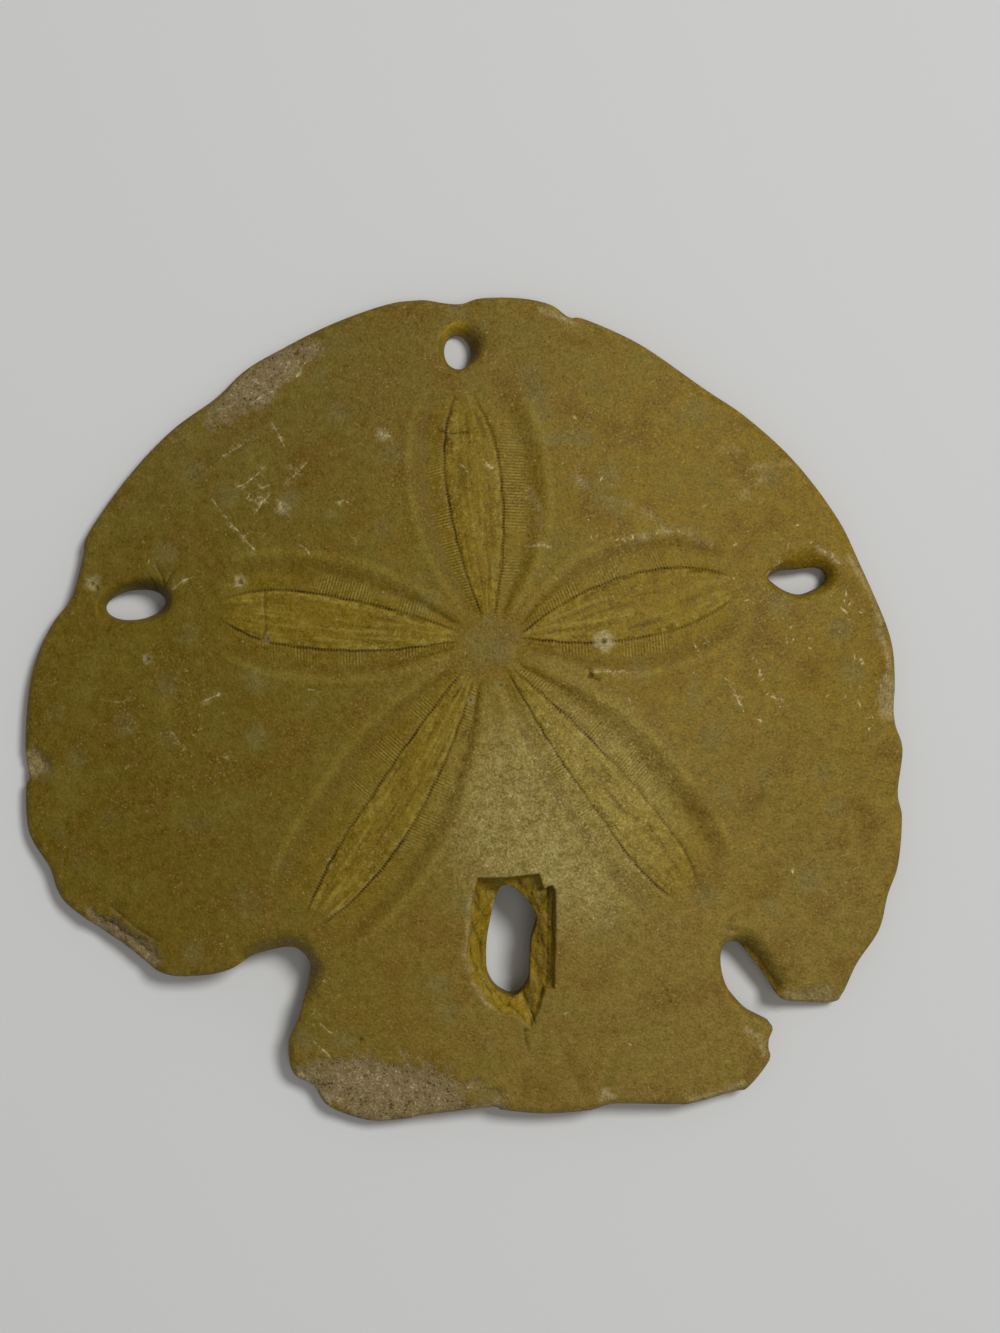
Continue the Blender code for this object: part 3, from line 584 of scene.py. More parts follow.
def reach_from_peak():
    """How far the plate reaches from its peak in each direction, with the open slots bridged over."""
    offset = OUTLINE_LOOP - PEAK
    bearings = np.degrees(np.arctan2(offset[:, 1], offset[:, 0]))
    radii = np.linalg.norm(offset, axis=1)
    grid = np.arange(0, 360, 5)
    away = np.abs((grid[:, None] - bearings + 180) % 360 - 180)
    bridged = np.where(away < 15, radii, 0).max(axis=1)
    near = np.abs((grid[:, None] - grid + 180) % 360 - 180)
    weight = np.exp(-(near / 12.0) ** 2)
    return grid, (weight @ bridged) / weight.sum(axis=1)


REACH_BEARINGS, REACH = reach_from_peak()


def dome(points):
    """Height of the worn dome before any slot, petal or break is taken out of it."""
    offset = points - PEAK
    bearing = np.arctan2(offset[:, 1], offset[:, 0])
    reach = np.interp(np.degrees(bearing), REACH_BEARINGS, REACH, period=360)
    share = np.clip(np.linalg.norm(offset, axis=1) / reach, 0, 1)
    backward = np.clip(-np.sin(bearing), 0, 1) ** 2
    margin = SIDE_THICKNESS + (BACK_THICKNESS - SIDE_THICKNESS) * backward
    return margin + (PEAK_HEIGHT - margin) * (1 - share ** DOME_POWER)


def rounding(thickness, edge):
    """1 at the very edge of the plate, 0 where the rounding of its margin ends, as a quarter circle."""
    width = np.clip(ROUND_SHARE * thickness, ROUND_LEAST, ROUND_MOST)
    away = 1 - np.clip(edge / width, 0, 1)
    return 1 - np.sqrt(1 - away ** 2)


def slot_slope(points):
    """Depth of the slopes that lead down into the closed slots, as a share of the thickness,
    and the painted shade on each point of its slope, up to 1, or the painted light, down to -1."""
    depth = np.zeros(len(points))
    painted_shade_share = np.zeros(len(points))
    for slot, loop in zip(SLOTS, SLOT_LOOPS):
        centre = loop.mean(axis=0)
        reach = np.linalg.norm(loop - centre, axis=1).max() + SLOPE_REACH
        near = np.linalg.norm(points - centre, axis=1) < reach
        offset = points[near] - centre
        bearing = np.arctan2(offset[:, 1], offset[:, 0])
        toward = 0.5 + 0.5 * np.cos(bearing - math.radians(slot["widest_toward"]))
        narrow, wide = slot["slope"]
        width = narrow + (wide - narrow) * toward ** 2
        away = 1 - np.clip(distance_to_line(points[near], loop, True) / width, 0, 1)
        depth[near] = np.maximum(depth[near], slot["fall"] * away ** 2)
        # Painted shade on the slope's side toward one bearing, and on the front slot painted light toward
        # another
        facing = np.clip(np.cos(bearing - math.radians(slot["painted_shade_toward"])), 0, 1)
        painted_shade_share[near] = np.maximum(painted_shade_share[near], slot.get("painted_shade", SLOT_PAINTED_SHADE) * away * facing)
        if "lit_toward" in slot:
            facing = np.clip(np.cos(bearing - math.radians(slot["lit_toward"])), 0, 1) ** 2
            painted_shade_share[near] -= eased(away, *SLOT_LIT) * facing
    return depth, painted_shade_share


def notch_slope(points):
    """Depth of the sloping sides of the open notches, as a share of the thickness, and their painted shade.
    """
    depth = np.zeros(len(points))
    painted_shade_share = np.zeros(len(points))
    for side in NOTCH_SIDES:
        from_middle = np.linalg.norm(points - np.array(side["middle"]), axis=1)
        near = from_middle < side["reach"]
        distance = distance_to_line(points[near], np.array(side["line"]), False)
        away = 1 - np.clip(distance / side["width"], 0, 1)
        away *= eased(from_middle[near], side["reach"], 0.5 * side["reach"])
        depth[near] = side["fall"] * away ** 2
        painted_shade_share[near] = side["painted_shade"] * away
    return depth, painted_shade_share


def break_distance(points):
    """Distance inside the broken rim of the back slot, negative outside it."""
    near = np.all((points > BREAK_LOOP.min(axis=0) - 1) & (points < BREAK_LOOP.max(axis=0) + 1), axis=1)
    distance = np.full(len(points), -1.0)
    spots = points[near]
    away = distance_to_line(spots, BREAK_LOOP, True)
    distance[near] = np.where(inside(spots, BREAK_LOOP), away, -away)
    return distance


def break_depth(points, thickness, within):
    """Depth of the broken rim: a step, then creased facets that fall to the slot, steepest on the left."""
    depth = np.zeros(len(points))
    near = within > 0
    spots = points[near]
    leftward = np.clip(0.5 + (BREAK_MIDDLE - spots[:, 0]) / BREAK_BLEND, 0, 1)
    inner_end = eased(spots[:, 1], *BREAK_INNER_END)
    step = BREAK_STEPS["right"] + (BREAK_STEPS["left"] - BREAK_STEPS["right"]) * leftward
    step = np.maximum(step, BREAK_STEPS["inner"] * inner_end)
    fall = BREAK_FALLS["right"] + (BREAK_FALLS["left"] - BREAK_FALLS["right"]) * leftward
    fibres = np.where(leftward[:, None] > 0.5, turned(spots, BREAK_FIBRE_TURN), spots)
    fibres = fibres * np.array(BREAK_FIBRE_STRETCH)
    creases = np.clip(1 - np.abs(rough(fibres, "break_creases")) / BREAK_CREASE_WIDTH, 0, 1)
    shape = step + fall * within[near] + BREAK_FACET * rough(fibres, "break_facets") + BREAK_CREASE * creases
    depth[near] = shape * np.clip(within[near] / BREAK_STEP_WIDTH, 0, 1)
    return np.clip(depth, 0, np.maximum(thickness - BREAK_FLOOR, 0))


def flake_depths(points):
    """Depth of the flaked places, and how far each point is inside a crumbled or a clean one, up to 1."""
    depth = np.zeros(len(points))
    crumbled = np.zeros(len(points))
    clean = np.zeros(len(points))
    for flake in FLAKES:
        half_size = np.array(flake["half_size"])
        local = turned(points - np.array(flake["centre"]), -flake["turn"])
        near = np.all(np.abs(local) < half_size * 1.3, axis=1)
        spots = points[near]
        away = np.linalg.norm(local[near] / half_size, axis=1) + FLAKE_WANDER * rough(spots, "flake_edge")
        inner = np.clip(2.2 * (1 - away), 0, 1)
        deep = flake["depth"] * inner
        if flake["layers"]:
            layer = deep / flake["layers"]
            step = np.clip((layer % 1 - LAYER_FLAT) / (1 - LAYER_FLAT), 0, 1)
            deep = flake["layers"] * (np.floor(layer) + step)
        depth[near] = np.maximum(depth[near], deep)
        here = np.clip(3.0 * (1 - away), 0, 1)
        kind = clean if "clean" in flake else crumbled
        kind[near] = np.maximum(kind[near], here * flake.get("clean", 1.0))
    return depth, crumbled, clean


def speck_lines():
    """A very short line at each speck, each turned on from the one before."""
    starts = enumerate(np.array(SPECKS))
    return [np.array([start, start + SPECK_LENGTH * heading(SPECK_TURN * i)]) for i, start in starts]


def line_strength(points, lines, half_width):
    """1 on any of the lines, falling to 0 at the half width."""
    strength = np.zeros(len(points))
    for line in lines:
        line = np.array(line)
        low = line.min(axis=0) - half_width
        high = line.max(axis=0) + half_width
        near = np.all((points > low) & (points < high), axis=1)
        if near.any():
            away = distance_to_line(points[near], line, False) / half_width
            strength[near] = np.maximum(strength[near], 1 - np.clip(away, 0, 1))
    return strength


def pit_shapes(points):
    """How deep each point lies in a pit, and in the pale crust round it, both up to 1."""
    deep = np.zeros(len(points))
    pale = np.zeros(len(points))
    for pit in PITS:
        away = np.linalg.norm(points - np.array(pit["centre"]), axis=1)
        near = away < PIT_REACH
        wavy = away[near] * (1 + PIT_WANDER * rough(points[near], "pit_edge"))
        deep[near] = np.maximum(deep[near], np.clip(1.3 * (1 - wavy / pit["radius"]), 0, 1))
        if pit["pale"]:
            crust = pit.get("strength", CRUST_STRENGTH) * np.clip(2 * (1 - wavy / pit["pale"]), 0, 1)
            pale[near] = np.maximum(pale[near], crust)
    return deep, pale


def petal_axes(petal):
    base = np.array(petal["base"])
    along = np.array(petal["tip"]) - base
    length = np.linalg.norm(along)
    along /= length
    return base, along, np.array([-along[1], along[0]]), length


def leaf_half_width(t, petal):
    start, widest, end = petal["half"]
    at = petal["widest_at"]
    opening = start + (widest - start) * (1 - (1 - np.clip(t / at, 0, 1)) ** 2)
    closing = end + (widest - end) * (1 - np.clip((t - at) / (1 - at), 0, 1) ** 2.2)
    return np.where(t < at, opening, closing)


def band_width(t, widest):
    return widest * (BAND_START_SHARE + (1 - BAND_START_SHARE) * np.sin(math.pi / 2 * np.clip(2 * t, 0, 1)))


def petal_point(petal, t, across):
    base, along, left, length = petal_axes(petal)
    sideways = petal["bow"] * np.sin(math.pi * t) + across
    return base + along * (length * t)[:, None] + left * sideways[:, None]


def petal_places(points):
    """For each point, its place in the petal that holds it most: millimetres along it from its base,
    beyond its pore line, and the width of its band there, then its share across the half leaf,
    the number of the petal, and 1 within the petal's length, fading to 0 at its ends."""
    places = np.zeros((len(points), 6))
    best = np.full(len(points), np.inf)
    for number, petal in enumerate(PETALS.values()):
        base, along, left, length = petal_axes(petal)
        t = (points - base) @ along / length
        across = (points - base) @ left - petal["bow"] * np.sin(math.pi * np.clip(t, 0, 1))
        half = leaf_half_width(t, petal)
        side = np.where(across > 0, 1.0, -1.0)
        line = np.column_stack([t * length, 4.0 * side + number])
        beyond = np.abs(across) - half
        near = np.abs(beyond) < 5
        beyond[near] += PORE_WANDER * rough(line[near], "pore_line")
        band = band_width(t, np.where(across > 0, petal["bands"][0], petal["bands"][1]))
        fade = np.minimum(eased(t, PETAL_FADE_TO, PETAL_FADE_FROM), eased(t, -0.04, 0.03))
        outside = np.where(fade > 0, beyond - band, FAR_AWAY)
        better = outside < best
        best = np.where(better, outside, best)
        row = np.column_stack([t * length, beyond, band, across / half, np.full(len(t), number), fade])
        places[better] = row[better]
    return places


def eased(value, start, end):
    """0 at start and 1 at end, with a smooth curve between."""
    t = np.clip((value - start) / (end - start), 0, 1)
    return t * t * (3 - 2 * t)


def petal_relief(points, places):
    """Raised leaves, pore pits and lines, sunk and striated bands, and the faint ridge round each petal;
    then the streaks of the leaves and how clearly the striae show."""
    along, beyond, band, share, number, fade = places.T
    petal_map = np.column_stack([along / 17.0, share * 2.6, number * 5.0])
    near = beyond < band + 2.5
    streaks = np.zeros(len(points))
    streaks[near] = rough(petal_map[near], "leaf_streaks")
    band_map = np.column_stack([along, 4.0 * np.sign(share) + number])
    shown = np.zeros(len(points))
    shown[near] = patchy(band_map[near], "striae", 0.55, 1.6) * eased(along[near], *STRIA_FADE)
    leaf = np.where(beyond < 0, LEAF_RISE * (1 - share ** 4) + LEAF_STREAK * streaks, 0)
    wave = 0.5 + 0.5 * np.cos(2 * math.pi * (along + STRIA_SLANT * np.clip(beyond, 0, None)) / PORE_PITCH)
    uneven = 1 + 0.5 * streaks
    pores = PORE_DEPTH * uneven * np.exp(-(beyond / PORE_HALF_WIDTH) ** 2)
    pores += PORE_PIT_DEPTH * wave * np.exp(-(beyond / PORE_PIT_HALF_WIDTH) ** 2)
    part = np.clip(beyond / band, 0, 1)
    rising = eased(part, 0.0, BAND_DEEPEST)
    sunk = BAND_DEPTH * np.where(part < BAND_DEEPEST, rising, eased(part, 1.0, BAND_DEEPEST))
    striae = eased(beyond, 0.1, 0.35) * eased(part, STRIA_SHARE + 0.2, STRIA_SHARE)
    striae *= STRIA_DEPTH * wave * shown
    halo = HALO_RISE * np.exp(-((beyond - band - HALO_DISTANCE) / HALO_HALF_WIDTH) ** 2)
    return (leaf - pores - sunk - striae + halo) * fade, streaks, shown


def disc_place(points):
    """Distance from the middle of the apical disc as a share of its star shaped edge."""
    offset = points - np.array(DISC_CENTRE)
    bearing = np.arctan2(offset[:, 1], offset[:, 0])
    edge = DISC_RADIUS * (1 + DISC_POINTS * np.cos(5 * (bearing - math.pi / 2)))
    return np.linalg.norm(offset, axis=1) / edge


def blotches(points):
    """Warm or green blotches, broad pale or strong areas, both from about -1 to 1, and grey spots up to 1."""
    spots = np.zeros(len(points))
    flat = points[:, :2]
    for centre, half_size, turn, strength in CLOUDS:
        local = turned(flat - np.array(centre), -turn) / np.array(half_size)
        away = np.linalg.norm(local, axis=1)
        near = away < CLOUD_REACH
        wavy = away[near] + CLOUD_WANDER * rough(flat[near], "clouds")
        spots[near] = np.maximum(spots[near], strength * eased(wavy, *CLOUD_SIDE))
    outer, inner = SPOT_SIZES
    for i, (x, y) in enumerate((flat / SPOT_CELL).tolist()):
        distances, places = noise.voronoi((x, y, 0.5))
        if noise.noise(places[0] * 3.7) > SPOT_LEAST:
            spots[i] = max(spots[i], SPOT_STRENGTH * min(max((outer - distances[0]) / (outer - inner), 0), 1))
    return np.column_stack([rough(points, "warmth"), rough(points, "paleness"), spots])


def worn_marks(points, into_break, clean):
    """Scratches, dark marks, pits and pale places, each up to about 1; the pale places include painted
    highlights.
    """
    shaken = points + SHAKE * np.column_stack([rough(points, "shake_x"), rough(points, "shake_y")])
    scratch = line_strength(shaken, SCRATCHES, SCRATCH_HALF_WIDTH)
    scratch *= patchy(points, "scratches", 0.75, 1.2) * eased(points[:, 0], *SCRATCH_FADE)
    scratch = np.maximum(scratch, line_strength(points, speck_lines(), SCRATCH_HALF_WIDTH))
    crack = line_strength(shaken, CRACKS, CRACK_HALF_WIDTH)
    pit, crust = pit_shapes(points)
    x, y = points.T
    # Painted highlight along the left side of the broken rim
    lit_rim = eased(np.abs(into_break), *LIT_RIM_WIDTH) * eased(x + LIT_RIM_SLANT * y, *LIT_RIM_LEFT)
    lit_rim *= patchy(points, "lit_rim", 0.7, 1.2) * eased(y, *LIT_RIM_START)
    wisp = line_strength(shaken, WISPS, WISP_HALF_WIDTH) * patchy(points, "wisps", 0.6, 1.4)
    # Pale rim strips, partly wear and partly painted highlight
    strip = line_strength(points, RIM_STRIPS, RIM_STRIP_HALF_WIDTH)
    pale = np.max([crust, LIT_RIM_STRENGTH * lit_rim, WISP_STRENGTH * wisp, RIM_STRIP_STRENGTH * strip,
                   CLEAN_STRENGTH * clean], axis=0)
    return scratch, crack, pit, pale


def upper_surface(points):
    """Heights of the upper side, and the masks that its material reads."""
    thickness = dome(points)
    edge = np.maximum(signed_edge_distance(points), 0)
    worn_edge = edge / (1 + EDGE_WEAR * rough(points, "worn_edge"))
    drop = np.minimum(TOP_DROP_SHARE * thickness, TOP_DROP_MOST) * rounding(thickness, worn_edge)
    slope, painted_light_and_shade = slot_slope(points)
    notch_side, notch_painted_shade = notch_slope(points)
    slope = np.maximum(slope, notch_side)
    painted_light_and_shade = np.where(notch_painted_shade > 0, notch_painted_shade, painted_light_and_shade)
    into_break = break_distance(points)
    within = np.maximum(into_break, 0)
    broken = break_depth(points, thickness, within)
    drop = np.where(within > 0, broken, np.maximum(drop, slope * thickness))
    flaked, chipped, clean = flake_depths(points)
    places = petal_places(points)
    scratch, crack, pit, pale = worn_marks(points, into_break, clean)
    disc = eased(disc_place(points), *DISC_SIDE)
    relief, streaks, striated = petal_relief(points, places)
    relief += DISC_RISE * disc
    relief += BROAD_RELIEF * rough(points, "broad_relief") + FINE_RELIEF * rough(points, "fine_relief")
    relief += CRUMB_RELIEF * chipped * np.minimum(rough(points, "crumbs"), CRUMB_MOST)
    relief -= SCRATCH_DEPTH * scratch + CRACK_DEPTH * crack + PIT_DEPTH * pit
    height = thickness - drop - flaked + relief
    masks = {
        "petal_place": places[:, :3],
        "petal_look": np.column_stack([places[:, 5], striated, streaks]),
        "surface": np.column_stack([eased(within, 0.0, BREAK_SIDE), chipped, rim_share(edge)]),
        "marks": np.column_stack([scratch, np.maximum(crack, pit), pale]),
        "form": np.column_stack([disc, np.clip(2 * slope, 0, 1), painted_light_and_shade]),
        "blotches": blotches(np.column_stack([points, height])),
    }
    return np.minimum(height, CAD_TOP), masks


def rim_share(edge):
    """1 at the very edge of the plate, 0 further in than the rim is wide."""
    return np.clip(1 - edge / RIM_WIDTH, 0, 1)


def plain_masks(points, rim):
    """Masks of points that lie off the upper side."""
    masks = {name: np.zeros((len(points), 3)) for name in ("petal_look", "surface", "marks", "form")}
    masks["petal_place"] = np.full((len(points), 3), FAR_AWAY)
    masks["surface"][:, 2] = rim
    masks["blotches"] = blotches(points)
    return masks


def groove_lines():
    """Food grooves as lists of points: five trunks from the mouth, each with two branches and their twigs."""
    mouth = np.array(MOUTH)
    lines = []
    for bearing, reach in zip(GROOVE_BEARINGS, GROOVE_REACHES):
        trunk = heading(bearing)
        fork = mouth + trunk * GROOVE_TRUNK
        lines.append([mouth + trunk * MOUTH_RADIUS, fork])
        for side in (-1, 1):
            outward = heading(bearing + side * GROOVE_SPREAD)
            bend = np.array([-trunk[1], trunk[0]]) * side
            length = reach - GROOVE_TRUNK
            steps = np.linspace(0, 1, round(length / GROOVE_STEP) + 1)
            branch = [fork + outward * length * t + bend * GROOVE_BOW * math.sin(math.pi * t) for t in steps]
            lines.append(branch)
            twig = heading(bearing + side * (GROOVE_SPREAD + GROOVE_TWIG_TURN)) * GROOVE_TWIG_LENGTH
            twig_steps = np.linspace(0, 1, round(GROOVE_TWIG_LENGTH / GROOVE_STEP) + 1)
            for start in GROOVE_TWIG_STARTS:
                root = branch[round(start * len(steps))]
                lines.append([root + twig * t for t in twig_steps])
    return [np.array(line) for line in lines]


GROOVES = groove_lines()
GROOVE_TREE = tree_of(np.vstack([spots for line in GROOVES for spots in (line, (line[1:] + line[:-1]) / 2)]))


def under_surface(points):
    """Heights of the underside above the surface that it rests on, and its masks."""
    thickness = dome(points)
    edge = np.maximum(signed_edge_distance(points), 0)
    rise = np.minimum(UNDER_RISE_SHARE * thickness, UNDER_RISE_MOST) * rounding(thickness, edge)
    away = np.array([GROOVE_TREE.find((x, y, 0))[2] for x, y in points.tolist()])
    groove = np.clip(1 - away / GROOVE_HALF_WIDTH, 0, 1) * np.clip(edge - GROOVE_EDGE, 0, 1)
    rise += GROOVE_DEPTH * groove
    for centre, radius, depth in ((MOUTH, MOUTH_RADIUS, MOUTH_DEPTH), (VENT, VENT_RADIUS, VENT_DEPTH)):
        share = np.clip(np.linalg.norm(points - np.array(centre), axis=1) / radius, 0, 1)
        rise = np.maximum(rise, depth * (1 - share ** 2))
    middle, broad, fine = UNDER_RELIEF
    relief = middle + broad * rough(points, "under_broad") + fine * rough(points, "under_fine")
    rise += np.maximum(relief, 0) * np.clip(edge / UNDER_EDGE, 0, 1)
    rise = np.maximum(rise, 0)
    masks = plain_masks(np.column_stack([points, rise]), rim_share(edge))
    # Painted shade along the food grooves
    masks["marks"][:, 1] = GROOVE_SHADE * groove
    return rise, masks


def spread_points(step):
    """An even triangular net of points over the plate's box."""
    low = OUTLINE_LOOP.min(axis=0)
    high = OUTLINE_LOOP.max(axis=0)
    rows = []
    for row, y in enumerate(np.arange(low[1], high[1], step * math.sqrt(3) / 2)):
        x = np.arange(low[0] + (row % 2) * step / 2, high[0], step)
        rows.append(np.column_stack([x, np.full(len(x), y)]))
    return np.vstack(rows)


def add_points(chosen, candidates, gap, clearance=POINT_GAPS["clearance"]):
    """Chosen points with the candidates that lie on the plate and keep the gap to them."""
    candidates = candidates[signed_edge_distance(candidates) > clearance]
    tree = tree_of(chosen)
    keep = [tree.find((x, y, 0))[2] >= gap for x, y in candidates.tolist()]
    return np.vstack([chosen, candidates[np.array(keep, bool)]])


def petal_points(petal):
    """Fine rows across the pore lines and bands, and coarser rows across the leaf."""
    length = petal_axes(petal)[3]
    fine = np.arange(-0.02, 1.03, PORE_PITCH / 3 / length)
    columns = []
    for side, widest in ((1, petal["bands"][0]), (-1, petal["bands"][1])):
        half = leaf_half_width(fine, petal)
        band = band_width(fine, widest)
        for beyond in PORE_COLUMNS:
            columns.append(petal_point(petal, fine, side * (half + beyond)))
        for share in np.linspace(0, 1, BAND_COLUMNS + 1)[1:]:
            columns.append(petal_point(petal, fine, side * (half + 0.3 + (band - 0.3) * share)))
    slow = np.arange(-0.02, 1.03, LEAF_ROW_STEP / length)
    half = leaf_half_width(slow, petal)
    for share in np.linspace(-1, 1, LEAF_COLUMNS + 2)[1:-1]:
        columns.append(petal_point(petal, slow, share * (half - 0.24)))
    return np.vstack(columns)


def mark_points():
    """Points along the middle and both sides of every scratch and crack, and round every pit."""
    found = []
    for lines, half_width in ((SCRATCHES + speck_lines(), SCRATCH_HALF_WIDTH), (CRACKS, CRACK_HALF_WIDTH)):
        for line in lines:
            for start, end in zip(np.array(line)[:-1], np.array(line)[1:]):
                along = end - start
                length = np.linalg.norm(along)
                across = np.array([-along[1], along[0]]) / length * half_width
                steps = np.arange(0, 1, MARK_STEP / length)[:, None]
                found += [start + along * steps + side * across for side in (0, -1, 1)]
    ring = np.array([heading(bearing) for bearing in range(0, 360, 36)])
    for pit in PITS:
        centre = np.array([pit["centre"]])
        found.append(centre)
        found += [centre + share * pit["radius"] * ring for share in PIT_RINGS]
        if pit["pale"] > pit["radius"]:
            found += [centre + share * pit["pale"] * ring for share in CRUST_RINGS]
    return thinned(np.vstack(found), POINT_GAPS["mark"])


def thinned(candidates, gap):
    """The candidates without those that come closer than the gap to an earlier one."""
    tree = tree_of(candidates)
    kept = np.ones(len(candidates), bool)
    for i, (x, y) in enumerate(candidates.tolist()):
        if kept[i]:
            for _, k, _ in tree.find_range((x, y, 0), gap):
                if k > i:
                    kept[k] = False
    return candidates[kept]


def flake_points():
    net = spread_points(FLAKE_STEP)
    keep = np.zeros(len(net), bool)
    for flake in FLAKES:
        local = turned(net - np.array(flake["centre"]), -flake["turn"]) / np.array(flake["half_size"])
        keep |= np.linalg.norm(local, axis=1) < 1.1
    return net[keep]


def break_points():
    net = spread_points(BREAK_POINT_STEP)
    low = BREAK_LOOP.min(axis=0) - 0.3
    high = BREAK_LOOP.max(axis=0) + 0.3
    return net[np.all((net > low) & (net < high), axis=1)]


def upper_points():
    """Points of the upper side: the edges of the plate come first, then the broken rim, then the rest."""
    rim = break_rim()
    points = np.vstack(LOOPS + [rim])
    for ring in BREAK_STEP_POINTS:
        points = add_points(points, offset_ring(rim, ring), POINT_GAPS["rim"])
    points = add_points(points, break_points(), POINT_GAPS["break"])
    for loop in LOOPS:
        for ring in EDGE_RINGS:
            points = add_points(points, offset_ring(loop, ring), min(0.7 * MARGIN_STEP, 0.9 * ring))
    points = add_points(points, mark_points(), POINT_GAPS["mark"])
    for petal in PETALS.values():
        points = add_points(points, petal_points(petal), POINT_GAPS["petal"])
    points = add_points(points, flake_points(), 0.7 * FLAKE_STEP)
    return add_points(points, spread_points(TOP_STEP), 0.62 * TOP_STEP), len(rim)


def break_rim():
    """The angular broken rim, cut into short steps along its straight sides."""
    rim = []
    for start, end in zip(BREAK_LOOP, np.roll(BREAK_LOOP, -1, axis=0)):
        parts = max(1, round(np.linalg.norm(end - start) / SLOT_STEP))
        rim += [start + (end - start) * t for t in np.arange(parts) / parts]
    return np.array(rim)


def under_points():
    """Points of the underside: the edges of the plate come first, in the same order as above."""
    points = np.vstack(LOOPS)
    for loop in LOOPS:
        for ring in UNDER_RINGS:
            points = add_points(points, offset_ring(loop, ring), 0.9 * max(ring, MARGIN_STEP))
    for side in GROOVE_ROWS:
        for line in GROOVES:
            along = np.gradient(line, axis=0)
            along /= np.linalg.norm(along, axis=1)[:, None]
            across = np.stack([-along[:, 1], along[:, 0]], axis=1)
            points = add_points(points, line + side * across, POINT_GAPS["groove"], 1.0)
    return add_points(points, spread_points(UNDER_STEP), 0.6 * UNDER_STEP)


def loop_edges(start, count):
    return [(start + i, start + (i + 1) % count) for i in range(count)]


def triangles(points, edge_count, creases):
    """Triangles over the plate through every point, anticlockwise seen from above."""
    edges = list(creases)
    start = 0
    for loop in LOOPS:
        edges += loop_edges(start, len(loop))
        start += len(loop)
    vectors = [Vector(spot) for spot in points.tolist()]
    out, _, faces, origins, _, _ = delaunay_2d_cdt(vectors, edges, [], 1, 1e-6, True)
    if len(out) != len(points):
        raise ValueError("two points of the plate coincide, or two of its edges cross")
    source = np.array([origin[0] for origin in origins])
    faces = source[np.array(faces)]
    doubtful = np.all(faces < edge_count, axis=1)
    middle = points[faces[doubtful]].mean(axis=1)
    keep = inside(middle, OUTLINE_LOOP)
    for loop in SLOT_LOOPS:
        keep &= ~inside(middle, loop)
    whole = np.ones(len(faces), bool)
    whole[doubtful] = keep
    faces = faces[whole]
    a, b, c = (points[faces[:, k]] for k in range(3))
    back = (b[:, 0] - a[:, 0]) * (c[:, 1] - a[:, 1]) < (b[:, 1] - a[:, 1]) * (c[:, 0] - a[:, 0])
    faces[back] = faces[back][:, ::-1]
    return faces


def wall_rows(loop, top, bottom):
    """Points of the wall between the upper and lower edge of one loop, row by row from the top."""
    rows = []
    middle, uneven, most = WALL_HOLLOW
    for k in range(1, WALL_ROWS):
        share = k / WALL_ROWS
        height = top + (bottom - top) * share
        hollow = middle + uneven * rough(np.column_stack([loop, WALL_STRETCH * height]), "wall")
        cut_in = np.clip(hollow, 0, most) * math.sin(math.pi * share)
        rows.append(np.column_stack([loop + inward(loop) * cut_in[:, None], height]))
    return rows


def skin():
    """Vertices, faces and masks of the closed skin."""
    edge_count = sum(len(loop) for loop in LOOPS)
    upper, rim_count = upper_points()
    upper_faces = triangles(upper, edge_count, loop_edges(edge_count, rim_count))
    under = under_points()
    under_faces = triangles(under, edge_count, [])[:, ::-1] + len(upper)
    top, masks = upper_surface(upper)
    bottom, under_masks = under_surface(under)
    vertices = [np.column_stack([upper, top]), np.column_stack([under, bottom])]
    total = len(upper) + len(under)
    walls = []
    wall_points = []
    start = 0
    for loop in LOOPS:
        count = len(loop)
        rows = wall_rows(loop, top[start:start + count], bottom[start:start + count])
        ids = [start + np.arange(count)]
        for row in rows:
            vertices.append(row)
            ids.append(total + np.arange(count))
            total += count
            wall_points.append(row)
        ids.append(len(upper) + start + np.arange(count))
        for high, low in zip(ids[:-1], ids[1:]):
            high_next = np.roll(high, -1)
            low_next = np.roll(low, -1)
            walls.append(np.column_stack([high_next, high, low]))
            walls.append(np.column_stack([high_next, low, low_next]))
        start += count
    wall = plain_masks(np.vstack(wall_points), 1.0)
    joined = {name: np.concatenate([masks[name], under_masks[name], wall[name]]) for name in masks}
    return np.vstack(vertices), np.vstack([upper_faces, under_faces] + walls), joined


def make_skin():
    vertices, faces, masks = skin()
    vertices = np.clip(vertices, np.array(CAD_BOX[0]) / MM, np.array(CAD_BOX[1]) / MM)
    mesh = bpy.data.meshes.new("sand_dollar_skin")
    mesh.from_pydata((vertices * MM).tolist(), [], faces.tolist())
    for name, values in masks.items():
        layer = mesh.attributes.new(name, "FLOAT_VECTOR", "POINT")
        layer.data.foreach_set("vector", values.astype(np.float32).ravel())
    mesh.shade_smooth()
    item = bpy.data.objects.new("sand_dollar_skin", mesh)
    bpy.context.scene.collection.objects.link(item)
    return item


def colour(red, green, blue):
    """Linear colour from the 0 to 255 values that a picture shows."""
    return tuple((v / 255 / 12.92 if v <= 10 else ((v / 255 + 0.055) / 1.055) ** 2.4)
                 for v in (red, green, blue)) + (1.0,)


